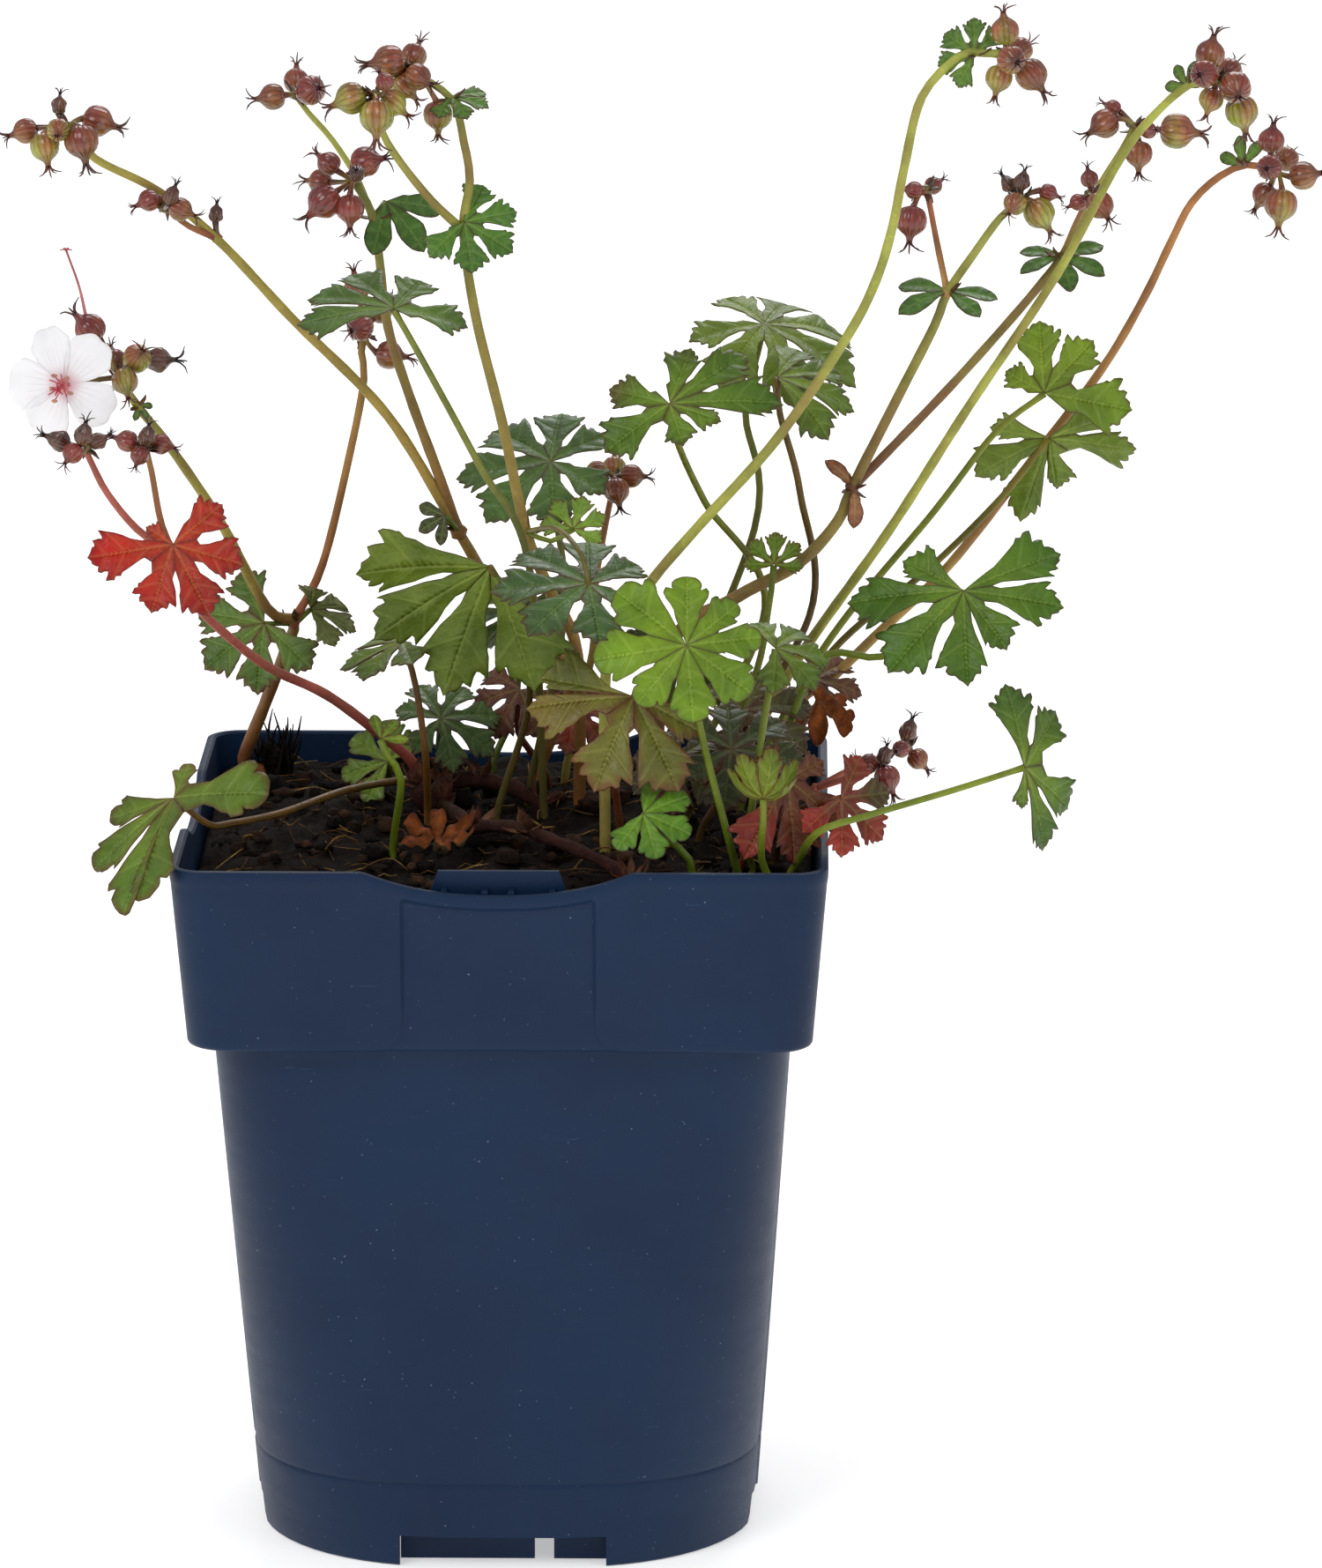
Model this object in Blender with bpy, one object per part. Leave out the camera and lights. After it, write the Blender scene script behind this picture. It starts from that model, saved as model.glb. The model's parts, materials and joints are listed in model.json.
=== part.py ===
"""A hardy geranium gone to seed, with one white flower left, in its square nursery pot.

Metres, +Z up. The origin is the centre of the pot's base, on the ground; -Y is the side the
photograph was taken from.
"""
import math
import random

import bmesh
import bpy
import numpy as np
from mathutils import Vector

# Driving dimensions of the pot
MM = 0.001
POT_HEIGHT = 124.6 * MM
RIM_HALF = 55.0 * MM
RIM_CORNER = 6.0 * MM
COLLAR_HEIGHT = 31.5 * MM
COLLAR_BOTTOM_HALF = 52.4 * MM
BODY_TOP_HALF = 48.6 * MM
BODY_TOP_CORNER = 12.0 * MM
BASE_HALF = 42.5 * MM
BASE_CORNER = 32.0 * MM
WALL = 1.6 * MM
FLOOR_UNDERSIDE = 6.0 * MM
FLOOR_TOP = 7.8 * MM
DIP_DEPTH = 3.9 * MM
DIP_HALF = 22.5 * MM
PANEL_HALF = 15.0 * MM
PANEL_RECESS = 0.8 * MM
LIP_DEPTH = 2.3 * MM
NOTCH_HALF = 17.6 * MM
NOTCH_HEIGHT = 5.6 * MM
PLATE_SETBACK = 5.5 * MM
DRAIN_RADIUS = 4.0 * MM
DRAIN_REACH = 21.0 * MM
SLOT_HALF = 11.7 * MM

# Soil, roots and gaps
SOIL_EDGE_TOP = 117.6 * MM
SOIL_MOUND = 1.4 * MM
SOIL_SLOPE = 0.04
SOIL_GAP = 0.45 * MM
ROOT_DEPTH = 9.0 * MM
HOLE_CLEARANCE = 0.35 * MM
PART_GAP = 0.35 * MM
BLADE_THICKNESS = 0.8 * MM
PETAL_THICKNESS = 0.75 * MM
PETIOLE_RADIUS = 0.85 * MM
HUB_RADIUS = 1.25 * MM
PEDICEL_RADIUS = 0.45 * MM

# The camera of the photograph, so that places read from it turn into real ones
EYE = np.array([0.0496087, -1.5, 0.4695141])
YAW = 0.01553714
PITCH = 0.22420556
FOCAL_PX = 10161.77
MIDDLE_PX = (750.0, 889.5)

# Where the parts of the plant stand. A place (across, down, back) is a spot in the photograph's
# 1500 x 1779 frame and its distance behind the pot's centre plane in mm; a root is (x, y) in mm on the soil.
# stems: route, radius at the foot, radius at the tip. A route that ends at a head stops short of its hub.
# leaves: centre, tip of the middle lobe, the way the upper side faces, lobes, droop, petiole route.

SPRAYS = {
    "spray_far_left": {
        "stems": {
            "main": ([(4, 27), (648, 770, 24), (600, 715, 20), (555, 660, 14), (520, 603, 8), (440, 472, 4),
                      (330, 360, 0), (250, 275, -4), (180, 217, -8), (108, 180, -12), "head_far_left"], 1.35, 0.75),
            "side": ([(246, 270, -4), (215, 257, -8), "head_left_branch"], 0.7, 0.5),
            "inner": ([(520, 603, 8), (500, 545, 6), (465, 450, 2), (440, 370, -2), (430, 290, -5),
                       (422, 243, -7), "head_inner_left"], 1.1, 0.8),
            "inner_top": ([(424, 255, -6), (408, 208, 4), (378, 160, 6), (350, 128, 6), "head_upper_left"], 0.65, 0.55),
        },
        "leaves": {
            "bract": ((438, 228, -4), (452, 292, 0), (0.3, -0.7, 0.6), 3, 0.1, [(424, 246, -6)]),
            "spotted": ((505, 585, 4), (478, 590, 0), (-0.2, -0.9, 0.4), 3, 0.1, [(518, 600, 7)]),
        },
        "fruits": {"bud": (245, 242, -4, 2.9, (0.1, 0, 1), "dark", (247, 268, -4))},
    },
    "spray_centre_left": {
        "stems": {
            "main": ([(12, 12), (655, 742, 0), (625, 672, -4), (597, 603, -8), (570, 480, -12), (540, 360, -16),
                      (526, 262, -20), (533, 205, -20), (526, 160, -20), (512, 112, -20), "head_top_back"], 1.3, 0.7),
            "left_top": ([(526, 262, -20), (490, 228, -24), (455, 185, -27), (434, 150, -29), "head_top_left"], 0.9, 0.65),
        },
        "leaves": {
            "node": ((527, 252, -22), (578, 262, -28), (0.1, -0.75, 0.65), 5, 0.1, [(526, 262, -20)]),
            "top": ((512, 106, -20), (556, 118, -22), (0.0, -0.35, 0.9), 4, 0.15, [(512, 112, -20)]),
            "dark": ((668, 662, -33), (556, 648, -36), (0.1, -0.42, 0.9), 7, 0.15,
                     [(597, 603, -8), (632, 600, -20), (660, 630, -30)]),
            "bright": ((650, 600, -6), (662, 560, -4), (0.0, -0.8, 0.6), 5, -0.05, [(597, 603, -8), (625, 614, -10)]),
        },
    },
    "spray_flower": {
        "stems": {
            "main": ([(-45, 38), (275, 868, 38), (300, 800, 32), (324, 738, 26), (333, 705, 24), (303, 690, 18),
                      (250, 592, 8), (195, 510, 0), (157, 462, -6), "head_flower"], 1.5, 0.8),
            "tall": ([(333, 705, 24), (366, 640, 27), (398, 510, 30), (413, 430, 31), (410, 400, 32), "head_behind"], 0.9, 0.7),
        },
        "leaves": {
            "left": ((300, 707, 18), (226, 745, 12), (-0.1, -0.8, 0.6), 5, 0.15, [(330, 707, 24)]),
            "right": ((352, 690, 26), (405, 718, 24), (0.2, 0.75, 0.6), 4, 0.2, [(336, 706, 24)]),
            "small": ((160, 452, -4), (172, 470, -8), (0.4, -0.8, 0.3), 3, 0.2, [(157, 460, -6)]),
        },
    },
    "spray_tall_right": {
        "stems": {
            "main": ([(17, -14), (690, 740, -16), (735, 665, -16), (790, 600, -18), (880, 500, -22), (960, 384, -26),
                      (994, 318, -28), (1013, 256, -30), (1026, 190, -31), (1046, 110, -32), (1088, 64, -32), (1112, 60, -32),
                      "head_tall_right"], 1.15, 0.8),
        },
        "leaves": {
            "top": ((1108, 62, -30), (1068, 34, -30), (-0.2, -0.9, 0.4), 5, 0.15, [(1106, 62, -32)]),
        },
    },
    "spray_forked": {
        "stems": {
            "main": ([(25, 8), (760, 735, 8), (835, 678, 8), (905, 640, 8), (950, 592, 8), (967, 553, 8), (1018, 452, 4),
                      (1060, 370, 0), (1075, 332, -2), (1105, 288, -6), (1135, 247, -8), "head_right_dark"], 1.5, 0.7),
            "pink": ([(1075, 332, -2), (1063, 275, 2), (1054, 228, 3), "head_pink"], 0.7, 0.5),
            "right": ([(967, 553, 8), (1000, 520, 12), (1100, 415, 18), (1200, 298, 24), (1240, 225, 26),
                       (1274, 170, 28), "head_right_high"], 0.95, 0.8),
            "short": ([(1205, 290, 24), (1222, 250, 19), "head_right_small"], 0.6, 0.5),
        },
        "leaves": {
            "bract_left": ((1068, 332, -2), (1012, 316, -4), (0.0, -0.5, 0.85), 2, 0.2, [(1075, 332, -2)]),
            "bract_right": ((1082, 334, -2), (1130, 342, -6), (0.0, -0.4, 0.9), 2, 0.15, [(1075, 332, -2)]),
            "high_left": ((1200, 294, 24), (1155, 272, 22), (0.0, -0.45, 0.9), 2, 0.15, [(1204, 292, 24)]),
            "high_right": ((1207, 294, 24), (1256, 304, 20), (0.0, -0.55, 0.8), 3, 0.1, [(1204, 292, 24)]),
            "stipule_up": ((967, 550, 6), (964, 518, 4), (0.6, -0.7, 0.3), 1, 0.3, [(967, 553, 8)]),
            "stipule_down": ((970, 554, 6), (990, 584, 2), (0.5, -0.8, 0.3), 1, 0.2, [(967, 553, 8)]),
        },
    },
    "spray_right": {
        "stems": {
            "main": ([(38, 24), (895, 765, 24), (930, 712, 20), (1010, 600, 12), (1100, 460, 6), (1200, 310, 0),
                      (1270, 182, -4), (1310, 130, -7), (1350, 96, -9), "head_high_right"], 1.15, 0.75),
        },
        "leaves": {"top": ((1346, 98, -9), (1330, 72, -7), (-0.5, -0.8, 0.3), 3, 0.1, [(1348, 98, -9)])},
    },
    "spray_far_right": {
        "stems": {
            "main": ([(44, 33), (905, 800, 34), (945, 768, 34), (1000, 715, 34), (1078, 640, 33), (1180, 510, 32),
                      (1252, 416, 31), (1298, 338, 30), (1328, 276, 29), (1352, 230, 28), (1384, 200, 26),
                      (1415, 187, 24),
                      "head_far_right"], 1.15, 0.7),
        },
        "leaves": {"top": ((1416, 184, 25), (1412, 158, 28), (-0.5, -0.8, 0.3), 3, 0.1, [(1412, 188, 24)])},
    },
    "spray_red_left": {
        "stems": {
            "main": ([(-15, 12), (470, 868, 6), (430, 832, 0), (370, 788, -8), (305, 757, -16), (252, 716, -24),
                      (220, 682, -30), (205, 640, -34), (155, 600, -36), (122, 560, -38), (106, 530, -40),
                      "head_low_left"], 1.2, 0.6),
            "side": ([(205, 640, -34), (184, 597, -32), (172, 535, -30), "head_low_left_inner"], 0.7, 0.55),
        },
    },
    "spray_centre_short": {
        "stems": {"main": ([(9, 33), (672, 740, 32), (676, 660, 30), (690, 580, 30), "head_centre"], 0.9, 0.6)},
    },
    "spray_low_right": {
        "stems": {
            "main": ([(49, 14), (925, 895, 7), (955, 885, 5), (985, 874, 4), "head_low_right"], 0.8, 0.6),
            "long": ([(925, 895, 7), (955, 878, 10), (985, 866, 13), (1012, 853, 14), "head_low_right_far"], 0.7, 0.55),
        },
    },
}

LEAVES = {
    "leaf_big_front": ((779, 732, -46), (780, 651), (0.1, -1, 0.3),
                       [(697, 667), (780, 651), (840, 684), (868, 722), (856, 788), (788, 822), (722, 800), (670, 748)], 0.1, [(40, -33), (826, 950, -39), (800, 850, -41), (786, 780, -43)]),
    "leaf_behind_front": ((719, 790, -38), (672, 896), (0.0, -0.85, 0.5),
                          [(610, 764), (592, 797), (672, 896), (772, 896), (800, 830)], 0.15, [(20, -18), (695, 860, -28), (706, 820, -34)]),
    "leaf_pale_left": ((556, 642, -16), (506, 772), (0.1, 0.9, 0.4), (-38, 0, 38, 72), 0.2, [(-2, 2), (600, 800, -2), (590, 700, -10)]),
    "leaf_dark_centre": ((625, 523, 10), (512, 530), (-0.1, -0.5, 0.85), 7, 0.15, [(3, 19), (640, 700, 10), (630, 580, 10)]),
    "leaf_upper_left": ((447, 350, -22), (333, 352), (0.1, -0.45, 0.88),
                        [(333, 352), (346, 319), (395, 295), (480, 310), (535, 360)], 0.2, [(6, 6), (600, 640, -16), (545, 530, -18), (480, 410, -20)]),
    "leaf_fresh_right": ((1185, 446, 12), (1282, 462), (-0.2, -0.9, 0.4),
                         [(1140, 420), (1178, 361), (1240, 384), (1284, 463)], 0.1, [(40, 15), (935, 735, 14), (1060, 580, 12), (1130, 490, 12)]),
    "leaf_pale_right": ((1190, 496, 24), (1292, 498), (0.2, 0.9, 0.5),
                        [(1124, 482), (1108, 532), (1160, 583), (1200, 552), (1292, 504), (1264, 466)], 0.1, [(44, 24), (935, 750, 26), (1060, 640, 25), (1140, 560, 24)]),
    "leaf_large_right": ((1093, 670, -6), (1208, 680), (-0.1, -0.75, 0.65),
                         [(1023, 633), (956, 675), (1004, 758), (1097, 773), (1142, 733), (1208, 682), (1205, 620)], 0.12, [(44, 4), (925, 755, 4), (1000, 745, 0), (1060, 712, -3)]),
    "leaf_side_right": ((1163, 871, -36), (1224, 920), (0.6, -0.75, 0.15),
                        [(1150, 773), (1206, 805), (1224, 920), (1198, 970), (1162, 918)], 0.15, [(48, -36), (905, 978, -39), (928, 944, -44), (985, 925, -43), (1080, 897, -39)]),
    "leaf_browned": ((760, 458, -14), (890, 447), (-0.1, -0.75, 0.65),
                     [(784, 392), (848, 392), (890, 447), (818, 476), (775, 505), (684, 510), (690, 440)], 0.15, [(29, 14), (868, 690, 14), (800, 570, 0), (768, 500, -10)]),
    "leaf_top_back": ((868, 368, 20), (988, 408), (0.15, -0.35, 0.92), 7, 0.3, [(24, 22), (856, 600, 20), (846, 470, 20), (860, 400, 20)]),
    "leaf_top_right": ((882, 428, 0), (976, 462), (0.1, -0.5, 0.85), (-24, 14, 52, 92), 0.3, [(33, 17), (918, 700, 16), (908, 560, 8), (885, 470, 3)]),
    "leaf_small_centre": ((878, 640, 2), (880, 606), (0.0, -0.7, 0.7), 5, -0.2, [(30, 2), (852, 780, 0), (872, 690, 1)]),
    "leaf_mid_right": ((880, 735, -30), (950, 738), (0.2, -0.45, 0.85), 5, 0.25, [(42, -27), (848, 960, -30), (862, 850, -32), (875, 770, -31)]),
    "leaf_cup": ((866, 905, -50), (886, 868), (0.0, -0.2, 0.95), 5, -0.7, [(46, -44), (864, 975, -46), (866, 930, -49)]),
    "leaf_small_front": ((730, 923, -44), (785, 945), (0.0, -0.75, 0.65), 5, 0.1, [(32, -40), (782, 975, -42), (755, 950, -41)]),
    "leaf_dark_right": ((830, 850, -16), (925, 858), (0.1, -0.6, 0.8), 7, 0.2, [(33, -8), (820, 900, -10)]),
    "leaf_red_right": ((954, 906, -38), (1006, 952), (0.4, -0.8, 0.45), 5, 0.12, [(46, -17), (903, 922, -30)]),
    "leaf_red_left": ((196, 618, -44.5), (100, 632), (0.1, -0.84, 0.5),
                      [(100, 632), (166, 598), (252, 572), (276, 640), (238, 697), (172, 694)], 0.05, [(218, 682, -32.4), (206, 645, -41)]),
    "leaf_edge_on": ((457, 727, -3), (382, 754), (-0.36, -0.15, 0.92), 5, 0.1, [(-14, 4), (483, 860, -4), (472, 780, -4)]),
    "leaf_low_left": ((440, 864, 20), (395, 832), (-0.2, -0.8, 0.6), 5, 0.15, [(-26, 25), (440, 885, 24)]),
    "leaf_low_dark": ((500, 815, 18), (575, 800), (0.1, -0.6, 0.8), 7, 0.25, [(-8, 22), (500, 860, 18)]),
    "leaf_fuzzy": ((432, 838, -26), (452, 818), (0.2, -0.6, 0.75), 3, -0.1, [(-19, -18), (455, 885, -25), (440, 858, -26)]),
    "leaf_over_rim": ((197, 905, -41), (100, 984), (-0.45, -0.5, 0.75),
                      [(300, 892), (215, 866), (122, 928), (98, 982), (128, 1030), (147, 1016)], 0.1, [(-17, 22), (470, 884, 20), (395, 896, 2), (320, 922, -18), (262, 934, -34), (236, 935, -39)]),
    "leaf_back_left": ((590, 690, 44), (540, 655), (-0.3, 0.7, 0.7), 5, 0.2, [(-4, 42), (585, 800, 44)]),
    "leaf_back_right": ((770, 745, 46), (822, 708), (0.3, 0.7, 0.6), 5, 0.2, [(22, 44), (755, 810, 46)]),
}

# Seed heads: hub, then each fruit: across, down, back, width in mm, the way its beak points, ripeness.
HEADS = {
    "head_far_left": ((78, 145, -14), [
        (28, 149, -12, 4.2, (-1, 0, -0.3), "brown"), (51, 168, -17, 4.8, (0.2, -0.3, -1), "green"),
        (66, 148, -20, 3.8, (0, -1, -0.2), "green"), (93, 162, -19, 5.6, (0.2, -0.2, -1), "brown"),
        (112, 138, -12, 5.2, (1, 0, -0.3), "brown"), (67, 119, -13, 3.0, (0.1, 0, 1), "dark")]),
    "head_left_branch": ((186, 235, -11), [
        (168, 228, -12, 3.6, (-1, -0.2, -0.4), "pink"), (195, 221, -15, 3.2, (0.4, -0.2, 1), "dark"),
        (206, 238, -14, 3.9, (1, -0.3, -0.4), "brown")]),
    "head_upper_left": ((335, 107, 6), [
        (308, 110, 4, 4.4, (-1, 0, -0.15), "brown"), (353, 102, 2, 5.0, (0.4, -0.8, 0.2), "pink"),
        (336, 90, 12, 4.2, (0, 0.6, 1), "brown")]),
    "head_top_left": ((425, 108, -30), [
        (397, 112, -31, 5.2, (-1, -0.1, -0.4), "green"), (427, 134, -34, 5.6, (0, -0.2, -1), "green"),
        (447, 118, -27, 4.4, (0.8, 0, -0.7), "green"), (436, 92, -34, 3.0, (-0.4, -0.4, 0.8), "pink")]),
    "head_top_back": ((462, 78, -20), [
        (440, 70, -22, 5.4, (-1, -0.2, -0.1), "brown"), (475, 88, -24, 4.4, (0.7, -0.6, -0.3), "brown"),
        (460, 98, -22, 4.4, (0.7, -0.2, -0.8), "green"), (470, 62, -14, 4.2, (0.3, 0.7, 0.7), "brown"),
        (497, 132, -15, 4.8, (0, 0.1, -1), "green")]),
    "head_inner_left": ((402, 205, -10), [
        (372, 185, -10, 3.9, (-0.8, 0, 0.7), "pink"), (362, 206, -6, 4.0, (-1, 0.5, 0), "brown"),
        (367, 230, -15, 5.6, (-0.8, -0.2, -0.7), "pink"), (397, 238, -16, 4.8, (0, -0.1, -1), "pink"),
        (416, 183, -12, 5.0, (0.9, -0.2, 0.2), "pink"), (405, 196, -18, 3.2, (0, -1, 0.4), "dark")]),
    "head_behind": ((414, 378, 33), [
        (405, 325, 33, 4.4, (-0.2, 0, 1), "brown"), (408, 372, 27, 4.6, (-0.4, -0.9, 0), "pink"),
        (443, 403, 31, 4.8, (1, 0, -0.1), "brown"), (432, 352, 38, 4.2, (0.6, 0.5, 0.6), "brown")]),
    "head_flower": ((134, 428, -8), [
        (101, 372, -8, 5.2, (-0.6, 0, 0.6), "pink"), (156, 406, -11, 4.8, (0.3, -0.7, 0.5), "green"),
        (180, 408, -7, 4.8, (1, 0, 0), "dark"), (142, 434, -14, 4.4, (0.2, -0.5, -0.8), "green"),
        (130, 408, -4, 4.0, (-0.3, 0.6, 0.8), "brown")]),
    "head_low_left": ((96, 508, -42), [
        (66, 500, -43, 4.0, (-0.9, -0.2, 0.4), "dark"), (82, 515, -46, 3.4, (-0.5, -0.6, -0.6), "pink"),
        (95, 492, -46, 3.6, (0.2, -0.3, 1), "dark"), (112, 500, -41, 3.2, (0.9, 0, 0.5), "dark")]),
    "head_low_left_inner": ((165, 508, -30), [
        (143, 500, -31, 3.6, (-0.9, -0.2, 0.3), "pink"), (158, 518, -34, 3.0, (-0.3, -0.5, -0.8), "pink"),
        (167, 494, -33, 3.4, (0.2, -0.3, 1), "dark"), (184, 504, -29, 3.4, (0.9, 0, -0.3), "pink")]),
    "head_centre": ((698, 545, 30), [
        (676, 536, 30, 4.0, (-1, -0.2, 0), "green"), (700, 558, 25, 4.4, (0.2, -0.4, -1), "brown"),
        (718, 540, 29, 4.0, (1, -0.2, 0), "brown"), (697, 530, 36, 4.2, (0, 0.7, 0.7), "green")]),
    "head_tall_right": ((1142, 62, -34), [
        (1140, 34, -35, 4.6, (-0.1, 0, 1), "green"), (1148, 68, -41, 4.6, (0.3, -1, 0), "brown"),
        (1133, 90, -36, 4.4, (-0.2, -0.2, -1), "green"), (1171, 86, -35, 5.2, (0.6, -0.4, -0.8), "brown"),
        (1158, 56, -28, 4.2, (0.5, 0.8, 0.2), "brown")]),
    "head_pink": ((1050, 216, 3), [
        (1036, 216, 1, 3.0, (-1, -0.1, 0.2), "pink"), (1034, 252, -2, 5.2, (-0.1, -0.3, -1), "pink"),
        (1060, 210, 6, 3.0, (0.8, 0.4, 0.5), "pink")]),
    "head_right_dark": ((1160, 226, -10), [
        (1144, 208, -10, 3.0, (-0.6, 0, 0.8), "dark"), (1160, 205, -13, 3.2, (0.2, -0.2, 1), "dark"),
        (1190, 219, -10, 3.0, (1, 0, -0.4), "pink"), (1151, 232, -15, 3.8, (-0.4, -0.8, -0.5), "green"),
        (1180, 243, -11, 5.2, (0.6, 0, -1), "green")]),
    "head_right_high": ((1288, 145, 30), [
        (1252, 141, 29, 4.9, (-1, -0.2, -0.6), "brown"), (1292, 176, 26, 4.6, (0, -0.2, -1), "brown"),
        (1337, 149, 29, 6.0, (1, 0, -0.1), "green"), (1262, 122, 31, 2.8, (-1, 0, 0.5), "pink"),
        (1304, 148, 24, 2.8, (0.6, -0.8, 0.2), "pink")]),
    "head_right_small": ((1236, 222, 16), [
        (1236, 202, 15, 3.0, (-0.2, 0, 1), "pink"), (1249, 234, 10, 4.6, (0.4, -0.6, -0.6), "brown"),
        (1222, 230, 14, 2.8, (-0.7, -0.3, -0.3), "pink")]),
    "head_high_right": ((1382, 92, -11), [
        (1373, 60, -12, 4.8, (0.2, 0, 1), "brown"), (1366, 84, -18, 4.6, (-0.3, -1, 0.1), "pink"),
        (1402, 100, -18, 5.2, (0.1, -1, -0.3), "brown"), (1409, 128, -11, 5.4, (0.2, 0, -1), "green"),
        (1374, 114, -14, 4.0, (-0.3, -0.1, -1), "green"), (1395, 80, -4, 4.4, (0.4, 0.9, 0.3), "brown")]),
    "head_far_right": ((1448, 193, 22), [
        (1443, 158, 21, 4.4, (0.1, 0, 1), "pink"), (1440, 190, 15, 4.2, (-0.2, -1, 0.1), "pink"),
        (1480, 199, 20, 4.8, (1, -0.3, 0.2), "brown"), (1453, 234, 18, 5.6, (-0.1, -0.1, -1), "green"),
        (1434, 222, 24, 4.2, (-0.5, 0, -0.8), "brown"), (1460, 180, 29, 4.2, (0.3, 0.9, 0.2), "brown")]),
    "head_low_right": ((1000, 868, 4), [
        (985, 866, 2, 3.4, (-0.8, -0.2, 0.4), "pink"), (1007, 884, 0, 4.4, (0.4, -0.2, -1), "pink"),
        (1004, 856, -1, 3.0, (0.2, -0.3, 1), "dark")]),
    "head_low_right_far": ((1028, 848, 15), [
        (1031, 828, 14, 3.6, (0.3, 0, 1), "dark"), (1022, 850, 10, 3.0, (-0.4, -0.9, 0), "pink"),
        (1042, 862, 14, 3.6, (0.7, 0, -0.8), "brown")]),
}

# The creeping rootstock: routes and radii. The flower: centre, the way it faces, and its reach.
ROOTSTOCK = {
    "left": ([(-12, 8), (500, 893, 14), (545, 884, 15), (585, 886, 13), (5, 12)], 1.9, 1.5),
    "cross": ([(-12, 8), (540, 936, -8), (600, 943, -18), (680, 964, -31), (22, -34)], 1.5, 1.1),
    "stub": ([(-12, 8), (484, 912, 6), (474, 892, 4)], 2.2, 1.8),
}
FLOWER = ((72, 437, -22), (-0.1, -1, 0.12), 9.6)
LITTER = {
    "litter_left": [((498, 953, -18), (545, 966), (0, -0.35, 0.93), 3, -0.4),
                    ((498, 953, -18), (458, 940), (-0.2, -0.35, 0.9), 3, -0.3)],
    "litter_right": [((932, 800, 18), (966, 780), (0.2, -0.5, 0.85), 3, 0.3),
                     ((932, 800, 18), (925, 840), (-0.1, -0.6, 0.8), 3, 0.3)],
}


# Clear the scene
for old in list(bpy.data.objects):
    bpy.data.objects.remove(old, do_unlink=True)


# Places
def unit(vector):
    vector = np.asarray(vector, dtype=float)
    return vector / np.linalg.norm(vector)


def sight(across, down):
    """The direction from the camera through a spot of the photograph."""
    ahead = np.array([-math.sin(YAW) * math.cos(PITCH), math.cos(YAW) * math.cos(PITCH), -math.sin(PITCH)])
    right = np.array([math.cos(YAW), math.sin(YAW), 0.0])
    up = np.cross(right, ahead)
    return ahead + right * (across - MIDDLE_PX[0]) / FOCAL_PX - up * (down - MIDDLE_PX[1]) / FOCAL_PX


def spot(place):
    """A place (across, down, back) in metres."""
    line = sight(place[0], place[1])
    return EYE + line * ((place[2] * MM - EYE[1]) / line[1])


def spot_on_plane(across, down, point, facing):
    line = sight(across, down)
    slope = float(np.dot(line, facing))
    return EYE + line * (float(np.dot(point - EYE, facing)) / slope)


def soil_height(x, y):
    edge = min(1.0, max(abs(x), abs(y)) / (50.0 * MM))
    lumps = 0.9 * MM * math.sin(x * 310.0 + 1.3) * math.cos(y * 270.0 - 0.4)
    crumbs = 0.6 * MM * math.sin(x * 520.0 - y * 610.0 + 2.0)
    return SOIL_EDGE_TOP + SOIL_SLOPE * y + SOIL_MOUND * (1.0 - edge ** 2) + lumps + crumbs


def rooted(x, y):
    """A foot standing upright in the soil at (x, y) mm."""
    px, py = x * MM, y * MM
    top = soil_height(px, py)
    return [np.array([px, py, top - ROOT_DEPTH]), np.array([px, py, top + 2.0 * MM])]


def route_points(route):
    points = []
    for stop in route:
        if len(stop) == 2:
            points.extend(rooted(stop[0], stop[1]))
        else:
            points.append(spot(stop))
    return points


# Closed shapes as (vertices, faces)
def smooth_route(points, radii, step):
    """A Catmull-Rom curve through the points, cut about every step metres."""
    points = [np.asarray(p, dtype=float) for p in points]
    out, out_radii = [points[0]], [radii[0]]
    for i in range(len(points) - 1):
        p1, p2 = points[i], points[i + 1]
        p0 = points[i - 1] if i > 0 else 2 * p1 - p2
        p3 = points[i + 2] if i + 2 < len(points) else 2 * p2 - p1
        span = np.linalg.norm(p2 - p1)
        cuts = max(1, min(4, int(round(span / step))))
        for k in range(1, cuts + 1):
            t = k / cuts
            t2, t3 = t * t, t * t * t
            curved = 0.5 * (2 * p1 + (p2 - p0) * t + (2 * p0 - 5 * p1 + 4 * p2 - p3) * t2
                            + (3 * p1 - p0 - 3 * p2 + p3) * t3)
            out.append(curved)
            out_radii.append(radii[i] + (radii[i + 1] - radii[i]) * t)
    return out, out_radii


def tube(points, radii, sides=6, step=14.0 * MM):
    points, radii = smooth_route(points, radii, step)
    verts, faces = [], []
    side_way = None
    for i, point in enumerate(points):
        before = points[i - 1] if i > 0 else point
        after = points[i + 1] if i + 1 < len(points) else point
        along = unit(after - before)
        if side_way is None:
            side_way = unit(np.cross(along, (0.31, 0.95, 0.05)))
        side_way = unit(side_way - along * np.dot(side_way, along))
        other = np.cross(along, side_way)
        for k in range(sides):
            turn = 2 * math.pi * k / sides
            verts.append(point + radii[i] * (math.cos(turn) * side_way + math.sin(turn) * other))
    for i in range(len(points) - 1):
        for k in range(sides):
            a, b = i * sides + k, i * sides + (k + 1) % sides
            faces.append((a, b, b + sides, a + sides))
    faces.append(tuple(reversed(range(sides))))
    last = (len(points) - 1) * sides
    faces.append(tuple(last + k for k in range(sides)))
    return verts, faces


def stem_radii(count, foot, tip):
    return [foot + (tip - foot) * (k / max(1, count - 1)) for k in range(count)]


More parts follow.
